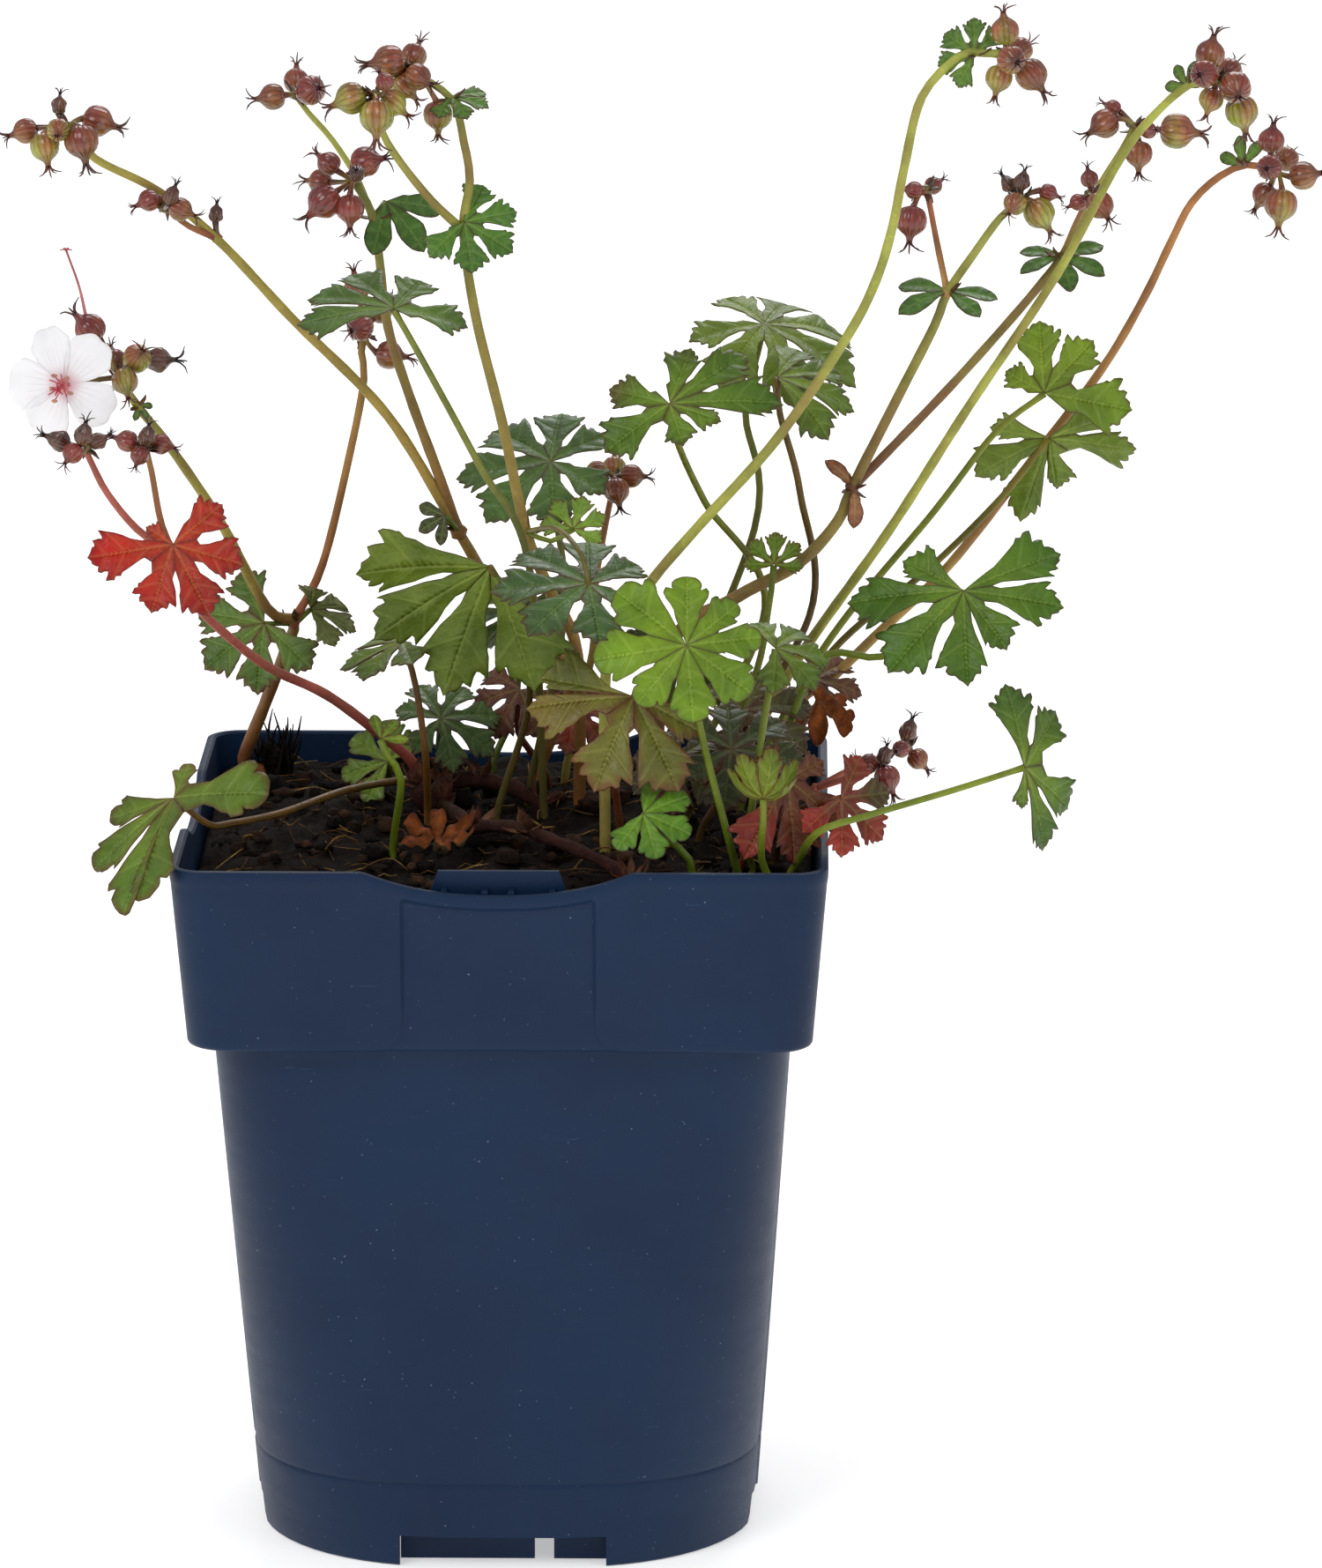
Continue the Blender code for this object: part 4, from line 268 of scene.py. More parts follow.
# Seed heads: name, the spray whose piece they belong to, hub; then each fruit: ripeness, place, width in mm,
# and the way its beak points.
HEADS = """
head_far_left alone 78 145 -14; brown 28 149 -12 4.2 -1 0 -0.3; green 51 168 -17 4.8 0.2 -0.3 -1;
 green 66 148 -20 3.8 0 -1 -0.2; brown 93 162 -19 5.6 0.2 -0.2 -1; brown 112 138 -12 5.2 1 0 -0.3;
 dark 67 119 -13 3.0 0.1 0 1
head_left_branch alone 186 235 -11; pink 168 228 -12 3.6 -1 -0.2 -0.4; dark 195 221 -15 3.2 0.4 -0.2 1;
 brown 206 238 -14 3.9 1 -0.3 -0.4
head_upper_left alone 335 107 6; brown 308 110 4 4.4 -1 0 -0.15; pink 353 102 2 5.0 0.4 -0.8 0.2;
 brown 336 90 12 4.2 0 0.6 1
head_top_left alone 425 108 -30; green 397 112 -31 5.2 -1 -0.1 -0.4; green 427 134 -34 5.6 0 -0.2 -1;
 green 447 118 -27 4.4 0.8 0 -0.7; pink 436 92 -34 3.0 -0.4 -0.4 0.8
head_top_back alone 462 78 -20; brown 440 70 -22 5.4 -1 -0.2 -0.1; brown 475 88 -24 4.4 0.7 -0.6 -0.3;
 green 460 98 -22 4.4 0.7 -0.2 -0.8; brown 470 62 -14 4.2 0.3 0.7 0.7; green 497 132 -15 4.8 0 0.1 -1
head_inner_left alone 402 205 -10; pink 372 185 -10 3.9 -0.8 0 0.7; brown 362 206 -6 4.0 -1 0.5 0;
 pink 367 230 -15 5.6 -0.8 -0.2 -0.7; pink 397 238 -16 4.8 0 -0.1 -1; pink 416 183 -12 5.0 0.9 -0.2 0.2;
 dark 405 196 -18 3.2 0 -1 0.4
head_behind alone 414 378 33; brown 405 325 33 4.4 -0.2 0 1; pink 408 372 27 4.6 -0.4 -0.9 0;
 brown 443 403 31 4.8 1 0 -0.1; brown 432 352 38 4.2 0.6 0.5 0.6
head_flower alone 134 428 -8; pink 101 372 -8 5.2 -0.6 0 0.6; green 156 406 -11 4.8 0.3 -0.7 0.5;
 dark 180 408 -7 4.8 1 0 0; green 142 434 -14 4.4 0.2 -0.5 -0.8; brown 130 408 -4 4.0 -0.3 0.6 0.8
head_low_left spray_red_left 96 508 -42; dark 66 500 -43 4.0 -0.9 -0.2 0.4;
 pink 82 515 -46 3.4 -0.5 -0.6 -0.6; dark 95 492 -46 3.6 0.2 -0.3 1; dark 112 500 -41 3.2 0.9 0 0.5
head_low_left_inner spray_red_left 165 508 -30; pink 143 500 -31 3.6 -0.9 -0.2 0.3;
 pink 158 518 -34 3.0 -0.3 -0.5 -0.8; dark 167 494 -33 3.4 0.2 -0.3 1; pink 184 504 -29 3.4 0.9 0 -0.3
head_centre spray_centre_short 698 545 30; green 676 536 30 4.0 -1 -0.2 0; brown 700 558 25 4.4 0.2 -0.4 -1;
 brown 718 540 29 4.0 1 -0.2 0; green 697 530 36 4.2 0 0.7 0.7
head_tall_right alone 1142 62 -34; green 1140 34 -35 4.6 -0.1 0 1; brown 1148 68 -41 4.6 0.3 -1 0;
 green 1133 90 -36 4.4 -0.2 -0.2 -1; brown 1171 86 -35 5.2 0.6 -0.4 -0.8; brown 1158 56 -28 4.2 0.5 0.8 0.2
head_pink alone 1050 216 3; pink 1036 216 1 3.0 -1 -0.1 0.2; pink 1034 252 -2 5.2 -0.1 -0.3 -1;
 pink 1060 210 6 3.0 0.8 0.4 0.5
head_right_dark alone 1160 226 -10; dark 1144 208 -10 3.0 -0.6 0 0.8; dark 1160 205 -13 3.2 0.2 -0.2 1;
 pink 1190 219 -10 3.0 1 0 -0.4; green 1151 232 -15 3.8 -0.4 -0.8 -0.5; green 1180 243 -11 5.2 0.6 0 -1
head_right_high alone 1288 145 30; brown 1252 141 29 4.9 -1 -0.2 -0.6; brown 1292 176 26 4.6 0 -0.2 -1;
 green 1337 149 29 6.0 1 0 -0.1; pink 1262 122 31 2.8 -1 0 0.5; pink 1304 148 24 2.8 0.6 -0.8 0.2
head_right_small alone 1236 222 16; pink 1236 202 15 3.0 -0.2 0 1; brown 1249 234 10 4.6 0.4 -0.6 -0.6;
 pink 1222 230 14 2.8 -0.7 -0.3 -0.3
head_high_right alone 1382 92 -11; brown 1373 60 -12 4.8 0.2 0 1; pink 1366 84 -18 4.6 -0.3 -1 0.1;
 brown 1402 100 -18 5.2 0.1 -1 -0.3; green 1409 128 -11 5.4 0.2 0 -1; green 1374 114 -14 4.0 -0.3 -0.1 -1;
 brown 1395 80 -4 4.4 0.4 0.9 0.3
head_far_right alone 1448 193 22; pink 1443 158 21 4.4 0.1 0 1; pink 1440 190 15 4.2 -0.2 -1 0.1;
 brown 1480 199 20 4.8 1 -0.3 0.2; green 1453 234 18 5.6 -0.1 -0.1 -1; brown 1434 222 24 4.2 -0.5 0 -0.8;
 brown 1460 180 29 4.2 0.3 0.9 0.2
head_low_right spray_low_right 1000 868 4; pink 985 866 2 3.4 -0.8 -0.2 0.4;
 pink 1007 884 0 4.4 0.4 -0.2 -1; dark 1004 856 -1 3.0 0.2 -0.3 1
head_low_right_far spray_low_right 1028 848 15; dark 1031 828 14 3.6 0.3 0 1;
 pink 1022 850 10 3.0 -0.4 -0.9 0; brown 1042 862 14 3.6 0.7 0 -0.8
"""

# The creeping rootstock: radius at the foot and at the tip in mm; route; the foot that its tip goes down to
ROOTSTOCK = """
1.9 1.5; -12 8, 500 893 14, 545 884 15; 5 12
1.5 1.1; -12 8, 540 936 -8, 600 943 -18; 22 -34
2.2 1.8; -12 8, 484 912 6, 474 892 4;
"""
DRY_LOOKS = "9A5E30 7E4420 4E2814 1.6"
# The open flower: its centre, the way it faces, and its reach in mm
FLOWER = ((72, 437, -22), (-0.1, -1, 0.12), 9.6)

# How many small loose things there are, how far in mm they lie from the pot's middle, the seeds of the
# random draws, how far out the lobes of a leaf meet, and how many scales sit at a node
CRUMBS, FIBRES, TUFT_ROOTS, TUFT_LUMPS = 620, 230, 46, 9
SCATTER_REACH = 49
SPRAY_LEAF_SEED, LEAF_SEED, CROWN_SEED, LITTER_SEED, BUD_SEED = 300, 500, 700, 900, 77
STOCK_SEED, LOOSE_SEED, FLOWER_SEED = 5, 23, 11
SPRAY_SINUS, CROWN_SINUS, LITTER_SINUS = 0.32, 0.30, 0.34
SCALES_AT_NODE, SCALES_ON_HEAD, SCALES_ON_STOCK = 2, 7, 6


# Rows and places
def rows(table):
    """The rows of a table, each as a list of its fields."""
    joined_up = table.strip().replace("\n ", " ")
    return [[field.strip() for field in row.split(";")] for row in joined_up.split("\n")]


def numbers(text):
    return tuple(float(word) for word in text.split())


def stops_of(text):
    """The feet and places of a route, and the name of a head that ends it."""
    return [part.strip() if "head" in part else numbers(part) for part in text.split(",")]


def spoke(turn, first, second):
    """The way at a turn from the first axis towards the second."""
    return math.cos(turn) * first + math.sin(turn) * second


def unit(vector):
    vector = np.asarray(vector, dtype=float)
    return vector / np.linalg.norm(vector)


def sight(across, down):
    """The direction from the camera through a spot of the photograph."""
    ahead = np.array([-math.sin(YAW) * math.cos(PITCH), math.cos(YAW) * math.cos(PITCH), -math.sin(PITCH)])
    right = np.array([math.cos(YAW), math.sin(YAW), 0.0])
    up = np.cross(right, ahead)
    return ahead + right * (across - MIDDLE_PX[0]) / FOCAL_PX - up * (down - MIDDLE_PX[1]) / FOCAL_PX


def spot(place):
    """A place (across, down, back) in metres."""
    line = sight(place[0], place[1])
    return EYE + line * ((place[2] * MM - EYE[1]) / line[1])


def spot_on_plane(across, down, point, facing):
    line = sight(across, down)
    slope = float(np.dot(line, facing))
    return EYE + line * (float(np.dot(point - EYE, facing)) / slope)


def soil_height(x, y):
    """The soil's height: a low mound with long waves and short ones."""
    edge = np.minimum(1.0, np.maximum(np.abs(x), np.abs(y)) / SOIL_HALF)
    lumps = 0.9 * MM * np.sin(x * 310.0 + 1.3) * np.cos(y * 270.0 - 0.4)
    crumbs = 0.6 * MM * np.sin(x * 520.0 - y * 610.0 + 2.0)
    return SOIL_EDGE_TOP + SOIL_SLOPE * y + SOIL_MOUND * (1.0 - edge ** 2) + lumps + crumbs


def rooted(x, y):
    """A foot standing upright in the soil at (x, y) mm."""
    px, py = x * MM, y * MM
    top = soil_height(px, py)
    return [np.array([px, py, top - ROOT_DEPTH]), np.array([px, py, top + 2.0 * MM])]


def route_points(text):
    """The points of a route in metres."""
    points = []
    for stop in stops_of(text):
        if isinstance(stop, str):
            points.append(HUBS[stop])
        elif len(stop) == 2:
            points.extend(rooted(stop[0], stop[1]))
        else:
            points.append(spot(stop))
    return points


def across_axes(along):
    first = unit(np.cross(along, (0.83, 0.21, 0.52)))
    return first, np.cross(along, first)


# Colours, as they look on a screen
def paint(code):
    shares = [int(code[k:k + 2], 16) / 255.0 for k in (0, 2, 4)]
    return np.array([c / 12.92 if c <= 0.04045 else ((c + 0.055) / 1.055) ** 2.4 for c in shares])


def blend_paint(low, high, share):
    """Rows of colour between two colours, or from rows to a colour, by an array of shares."""
    share = np.clip(np.asarray(share, dtype=float), 0.0, 1.0)[..., None]
    return low * (1.0 - share) + high * share


# Objects
def placed(name, data):
    """A new object in the scene."""
    made = bpy.data.objects.new(name, data)
    bpy.context.scene.collection.objects.link(made)
    return made


def face_out(mesh, cut=False):
    """Turn all faces outwards, after cutting them into triangles where asked."""
    net = bmesh.new()
    net.from_mesh(mesh)
    if cut:
        bmesh.ops.triangulate(net, faces=net.faces[:])
    bmesh.ops.recalc_face_normals(net, faces=net.faces[:])
    net.to_mesh(mesh)
    net.free()


# Shapes: corners, faces, and for every corner a tint and the three marks that the materials read
class Shape:
    """Corners, faces, tints and marks gathered into one mesh."""

    def __init__(self):
        self.points, self.faces, self.tints, self.marks = [], [], [], []
        self.size = 0

    def add(self, points, faces, tint, marks=None):
        points = np.asarray(points, dtype=float)
        count = len(points)
        tint = np.asarray(tint, dtype=float)
        if tint.ndim == 1:
            tint = np.tile(tint, (count, 1))
        marks = np.zeros((count, 3)) if marks is None else np.asarray(marks, dtype=float)
        self.points.append(points)
        self.tints.append(tint)
        self.marks.append(marks)
        self.faces.extend(tuple(int(c) + self.size for c in face) for face in faces)
        self.size += count

    def make(self, name, nodes, slot):
        """The mesh as a piece of the part, in place of its nodes."""
        mesh = bpy.data.meshes.new(name)
        mesh.from_pydata(np.concatenate(self.points).tolist(), [], self.faces)
        tints = np.concatenate(self.tints)
        tints = np.concatenate([tints, np.ones((len(tints), 1))], axis=1)
        mesh.attributes.new("tint", "FLOAT_COLOR", "POINT").data.foreach_set("color", tints.ravel())
        marks = np.concatenate(self.marks)
        mesh.attributes.new("marks", "FLOAT_VECTOR", "POINT").data.foreach_set("vector", marks.ravel())
        mesh.validate()
        mesh.polygons.foreach_set("use_smooth", [True] * len(mesh.polygons))
        made = placed(name, mesh)
        face_out(mesh)
        mesh.materials.append(FINISH[slot])
        if nodes:
            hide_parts(*nodes)
        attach(made, "root")
        return made


def ring_faces(rings, size, closed=False):
    """The faces between rings of corners, and over both ends where closed."""
    faces = [(a * size + k, a * size + (k + 1) % size, (a + 1) * size + (k + 1) % size, (a + 1) * size + k)
             for a in range(rings - 1) for k in range(size)]
    if closed:
        faces.append(tuple(reversed(range(size))))
        faces.append(tuple((rings - 1) * size + k for k in range(size)))
    return faces


def smooth_route(points, radii, step):
    """A Catmull-Rom curve through the points, cut about every step metres."""
    points = [np.asarray(p, dtype=float) for p in points]
    out, out_radii = [points[0]], [radii[0]]
    for i in range(len(points) - 1):
        p1, p2 = points[i], points[i + 1]
        p0 = points[i - 1] if i > 0 else 2 * p1 - p2
        p3 = points[i + 2] if i + 2 < len(points) else 2 * p2 - p1
        cuts = max(1, int(round(np.linalg.norm(p2 - p1) / step)))
        for k in range(1, cuts + 1):
            t = k / cuts
            t2, t3 = t * t, t * t * t
            curved = 0.5 * (2 * p1 + (p2 - p0) * t + (2 * p0 - 5 * p1 + 4 * p2 - p3) * t2
                            + (3 * p1 - p0 - 3 * p2 + p3) * t3)
            out.append(curved)
            out_radii.append(radii[i] + (radii[i + 1] - radii[i]) * t)
    return np.array(out), np.array(out_radii)


def tube(shape, points, radii, tint, sides=10, step=2.4 * MM, tip_tint=None, swell=0.0, wobble=0.0, seed=0):
    """A round stem along a curve, swollen at both ends, tinted from foot to tip."""
    points, radii = smooth_route(points, radii, step)
    count = len(points)
    spans = np.linalg.norm(np.diff(points, axis=0), axis=1)
    run = np.concatenate([[0.0], np.cumsum(spans)])
    if swell:
        foot, tip = np.exp(-(run / (1.6 * MM)) ** 2), np.exp(-((run[-1] - run) / (1.3 * MM)) ** 2)
        radii = radii * (1 + swell * foot + swell * tip)
    if wobble:
        pick = random.Random(seed)
        a, b = pick.uniform(0, 6), pick.uniform(0, 6)
        radii = radii * (1 + wobble * np.sin(run * 1400 + a) * np.sin(run * 630 + b))
    ways = np.gradient(points, axis=0)
    side_way = None
    verts = np.empty((count, sides, 3))
    turns = 2 * math.pi * np.arange(sides) / sides
    for i in range(count):
        along = unit(ways[i])
        if side_way is None:
            side_way = unit(np.cross(along, (0.31, 0.95, 0.05)))
        side_way = unit(side_way - along * np.dot(side_way, along))
        other = np.cross(along, side_way)
        out = np.cos(turns)[:, None] * side_way + np.sin(turns)[:, None] * other
        verts[i] = points[i] + radii[i] * out
    faces = ring_faces(count, sides, True)
    share = run / max(run[-1], 1e-9)
    tints = blend_paint(tint, tint if tip_tint is None else tip_tint, share)
    tints = np.repeat(tints, sides, axis=0)
    marks = np.stack([np.repeat(share, sides), np.tile(np.abs(np.sin(turns * 2)), count),
                      np.repeat(run * 1000, sides)], axis=1)
    shape.add(verts.reshape(-1, 3), faces, tints, marks)


STEM_SHARE = 0.86


def stem_radii(count, foot, tip):
    foot, tip = foot * STEM_SHARE, tip * STEM_SHARE
    return [foot + (tip - foot) * (k / max(1, count - 1)) for k in range(count)]


def lump(shape, centre, radius, tint, seed, rough=0.18, squash=(1, 1, 1), rings=7, sides=10):
    """A knobbly ball."""
    pick = random.Random(seed)
    a, b, c = (pick.uniform(0, 6.28) for _ in range(3))
    verts = [centre + np.array([0, 0, -radius * squash[2]])]
    for i in range(1, rings):
        rise = math.pi * i / rings
        for k in range(sides):
            turn = 2 * math.pi * k / sides
            flat = math.sin(rise)
            way = np.array([flat * math.cos(turn), flat * math.sin(turn), -math.cos(rise)])
            wave = math.sin(3 * way[0] * 2 + a) * math.cos(2.6 * way[1] * 2 + b)
            knob = 1 + rough * wave + rough * 0.6 * math.sin(7 * way[2] + c)
            verts.append(centre + radius * knob * way * np.array(squash))
    verts.append(centre + np.array([0, 0, radius * squash[2]]))
    faces = []
    for i in range(rings - 2):
        for k in range(sides):
            low, nxt = 1 + i * sides + k, 1 + i * sides + (k + 1) % sides
            faces.append((low, nxt, nxt + sides, low + sides))
    last = len(verts) - 1
    for k in range(sides):
        faces.append((0, 1 + (k + 1) % sides, 1 + k))
        faces.append((last, last - sides + k, last - sides + (k + 1) % sides))
    marks = np.zeros((len(verts), 3))
    marks[:, 1] = 0.5
    shape.add(verts, faces, tint, marks)


def bract(shape, base, way, up, length, width, tint, tip_tint, curl=0.3):
    """A small pointed scale: flat, bent back towards its tip."""
    way = unit(way)
    up = unit(up - way * np.dot(up, way))
    cross = np.cross(way, up)
    rows, columns = 8, 5
    share = np.linspace(0, 1, rows)
    spread = width * 0.5 * np.sin(np.pi * (0.12 + 0.88 * share)) ** 0.8 * (1 - share ** 4)
    spread[-1] = 0.02 * width
    places = []
    for i, s in enumerate(share):
        for j in range(columns):
            t = 2 * j / (columns - 1) - 1
            places.append(base + way * length * s + cross * spread[i] * t
                          + up * (curl * length * s * s + 0.25 * spread[i] * t * t))
    tints = blend_paint(tint, tip_tint, np.repeat(share, columns))
    sheet_shape(shape, places, rows, columns, up, BRACT_THICKNESS, tints)


def sheet_shape(shape, places, rows, columns, up, thickness, tints, marks=None):
    """A closed thin sheet over a grid of places."""
    places = np.asarray(places)
    size = rows * columns
    low = places - np.asarray(up) * thickness
    faces = []
    for i in range(rows - 1):
        for j in range(columns - 1):
            a = i * columns + j
            faces.append((a, a + 1, a + columns + 1, a + columns))
            faces.append((a + size + columns, a + size + columns + 1, a + size + 1, a + size))
    rim = list(range(columns))
    rim += [i * columns + columns - 1 for i in range(1, rows)]
    rim += [(rows - 1) * columns + j for j in range(columns - 2, -1, -1)]
    rim += [i * columns for i in range(rows - 2, 0, -1)]
    for k in range(len(rim)):
        a, b = rim[k], rim[(k + 1) % len(rim)]
        faces.append((b, a, a + size, b + size))
    marks = np.ones((size, 3)) if marks is None else marks
    shape.add(np.concatenate([places, low]), faces, np.concatenate([tints] * 2), np.concatenate([marks] * 2))


# Seed vessels
RIPENESS = {
    "green": ("A6B64A", "B2644A", "8CA436", "8A4632"),
    "brown": ("A86E44", "8E423A", "A0A242", "6A3226"),
    "pink": ("A05046", "8A3638", "9A8A44", "6E2830"),
    "dark": ("7E5646", "643A38", "726044", "341C18"),
}
AWN_RADII = (0.042, 0.036, 0.03, 0.016)


def fruit(shape, centre, width, way, ripeness, root, seed):
    """A swollen calyx of five ribbed sepals, drawn in to a neck that ends in five dark awns."""
    pick = random.Random(seed)
    first, second = across_axes(way)
    body_tint, flush_tint, under_tint, line_tint = (paint(code) for code in RIPENESS[ripeness])
    dry = ripeness == "dark"
    along = np.array([-0.53, -0.50, -0.44, -0.34, -0.20, -0.04, 0.12, 0.25, 0.35, 0.42, 0.48, 0.56, 0.64])
    reach = np.array([0.08, 0.22, 0.35, 0.445, 0.505, 0.52, 0.495, 0.42, 0.31, 0.21, 0.145, 0.115, 0.10])
    if dry:
        reach = reach * 0.82
    columns = 30
    turns = 2 * math.pi * np.arange(columns) / columns + pick.uniform(0, 1)
    sepal = np.abs(((np.arange(columns) % 6) / 6.0) - 0.5) * 2
    line = (np.arange(columns) % 2).astype(float)
    verts = np.empty((len(along), columns, 3))
    pleat = 0.10 if dry else 0.055
    for i, (a, r) in enumerate(zip(along, reach)):
        ribs = r * (1 + pleat * (sepal - 0.5) - 0.028 * line)
        if dry:
            ribs = ribs * (1 + 0.12 * np.sin(turns * 2 + a * 9 + seed))
        out = np.cos(turns)[:, None] * first + np.sin(turns)[:, None] * second
        verts[i] = centre + way * a * width + width * ribs[:, None] * out
    flatv = verts.reshape(-1, 3)
    faces = ring_faces(len(along), columns, True)
    share = np.repeat((along + 0.53) / 1.19, columns)
    outward = (flatv - centre) / width
    flush = 0.45 + 0.5 * outward[:, 2] - 0.35 * outward[:, 1] + 0.25 * np.sin(outward[:, 0] * 7 + seed)
    flush = flush + pick.uniform(-0.2, 0.2)
    tints = blend_paint(body_tint, flush_tint, flush)
    tints = blend_paint(tints, under_tint, 0.5 * np.clip(-outward[:, 2] * 1.2, 0, 1))
    tints = blend_paint(tints, line_tint, np.clip((share - 0.62) * 2.4, 0, 0.85))
    marks = np.stack([np.tile(line, len(along)), share, np.ones(len(share))], axis=1)
    shape.add(flatv, faces, tints, marks)
    neck = centre + way * 0.60 * width
    for k in range(5):
        turn = 2 * math.pi * (k + 0.5) / 5 + pick.uniform(-0.25, 0.25)
        out = spoke(turn, first, second)
        spread = pick.uniform(0.20, 0.40)
        length = pick.uniform(0.32, 0.50)
        awn = [neck + out * 0.05 * width, neck + way * 0.14 * width + out * 0.10 * width,
               neck + way * length * 0.7 * width + out * spread * 0.75 * width,
               neck + way * length * 0.85 * width + out * (spread * 1.35) * width]
        tube(shape, awn, [share * width for share in AWN_RADII], line_tint * 0.5, 5, 0.5 * MM)
    base = centre - way * 0.5 * width
    bow = (root + base) / 2 + way * np.linalg.norm(base - root) * -0.12
    tube(shape, [root, bow, base + way * 0.04 * width], [0.42 * MM, 0.40 * MM, 0.5 * MM], under_tint * 0.9, 7,
         0.8 * MM, tip_tint=flush_tint, swell=0.25)


def fruit_row(text):
    """The place, width, way and ripeness of a fruit, from its field of a row."""
    ripeness, sizes = text.split(" ", 1)
    across, down, back, width, *way = numbers(sizes)
    return spot((across, down, back)), width * MM, unit(way), ripeness


def seed_head(shape, name, fruits):
    hub = HUBS[name]
    seed = sum(ord(c) for c in name)
    pick = random.Random(seed)
    lump(shape, hub, 1.05 * MM, paint("6E5A34"), seed)
    for _ in range(SCALES_ON_HEAD):
        way = unit((pick.uniform(-1, 1), pick.uniform(-1, 1), pick.uniform(-0.7, 0.9)))
        red = pick.random() < 0.55
        length, width = pick.uniform(1.7, 2.8) * MM, pick.uniform(0.8, 1.3) * MM
        low, high = (paint("8A4438"), paint("5A2220")) if red else (paint("5E4A26"), paint("4A3A1C"))
        bract(shape, hub + way * 0.5 * MM, way, np.array([0.1, -0.2, 1.0]), length, width, low, high,
              pick.uniform(-0.3, 0.5))
    for number, text in enumerate(fruits):
        fruit(shape, *fruit_row(text), hub, seed + number * 7)


# Leaves
LOBE_SPACE = math.radians(1.6)
WIDE_LOBE = ((0.38, 0.14), (0.50, 0.205), (0.60, 0.265), (0.68, 0.320), (0.745, 0.350), (0.80, 0.345),
             (0.838, 0.308), (0.834, 0.262), (0.812, 0.218), (0.856, 0.230), (0.906, 0.224), (0.950, 0.192),
             (0.982, 0.142), (1.0, 0.078), (1.008, 0.0))
TOOTHED_LOBE = ((0.36, 0.115), (0.48, 0.172), (0.57, 0.228), (0.64, 0.275), (0.680, 0.316), (0.722, 0.312),
                (0.762, 0.342), (0.812, 0.364), (0.855, 0.358), (0.845, 0.310), (0.822, 0.262),
                (0.812, 0.222), (0.850, 0.228), (0.885, 0.236), (0.928, 0.222), (0.922, 0.178),
                (0.915, 0.142), (0.945, 0.128), (0.980, 0.095), (0.990, 0.050), (1.030, 0.0))
SLIM_LOBE = ((0.24, 0.10), (0.38, 0.165), (0.52, 0.215), (0.64, 0.235), (0.76, 0.220), (0.86, 0.170),
             (0.94, 0.095), (1.0, 0.0))
VEIN_STOPS = (0.36, 0.60, 0.82)
LEAF_ROWS = 5
LOBE_SHRINK = (1.0, 0.97, 0.90, 0.72)
LEAF_FOLD = 0.16


def lobe_fan(given):
    """Angle and length of each lobe: a count of them, or their angles in degrees from the longest."""
    if len(given) > 1:
        return [(math.radians(angle), 1.0 - 0.0015 * abs(angle)) for angle in given]
    count = int(given[0])
    if count == 1:
        return [(0.0, 1.0)]
    half = count // 2
    step = {7: 47.0, 5: 50.0, 3: 52.0}.get(count, 46.0)
    shift = 0.5 if count == 2 else 0.0
    return [(math.radians(step * (k - half + shift)), LOBE_SHRINK[abs(k - half)]) for k in range(count)]


def lobes_to(places, centre, forward, facing, length):
    """Angle and length of lobes whose tips are places of the photograph."""
    forward = unit(forward - facing * np.dot(forward, facing))
    side = np.cross(facing, forward)
    lobes = []
    for across, down in places:
        reach = spot_on_plane(across, down, centre, facing) - centre
        angle = math.atan2(float(np.dot(reach, side)), float(np.dot(reach, forward))) % (2 * math.pi)
        lobes.append((angle, min(1.5, float(np.linalg.norm(reach)) / length)))
    lobes.sort()
    gaps = [(lobes[k][0] - lobes[k - 1][0]) % (2 * math.pi) for k in range(len(lobes))]
    first = gaps.index(max(gaps))
    return lobes[first:] + [(angle + 2 * math.pi, scale) for angle, scale in lobes[:first]]


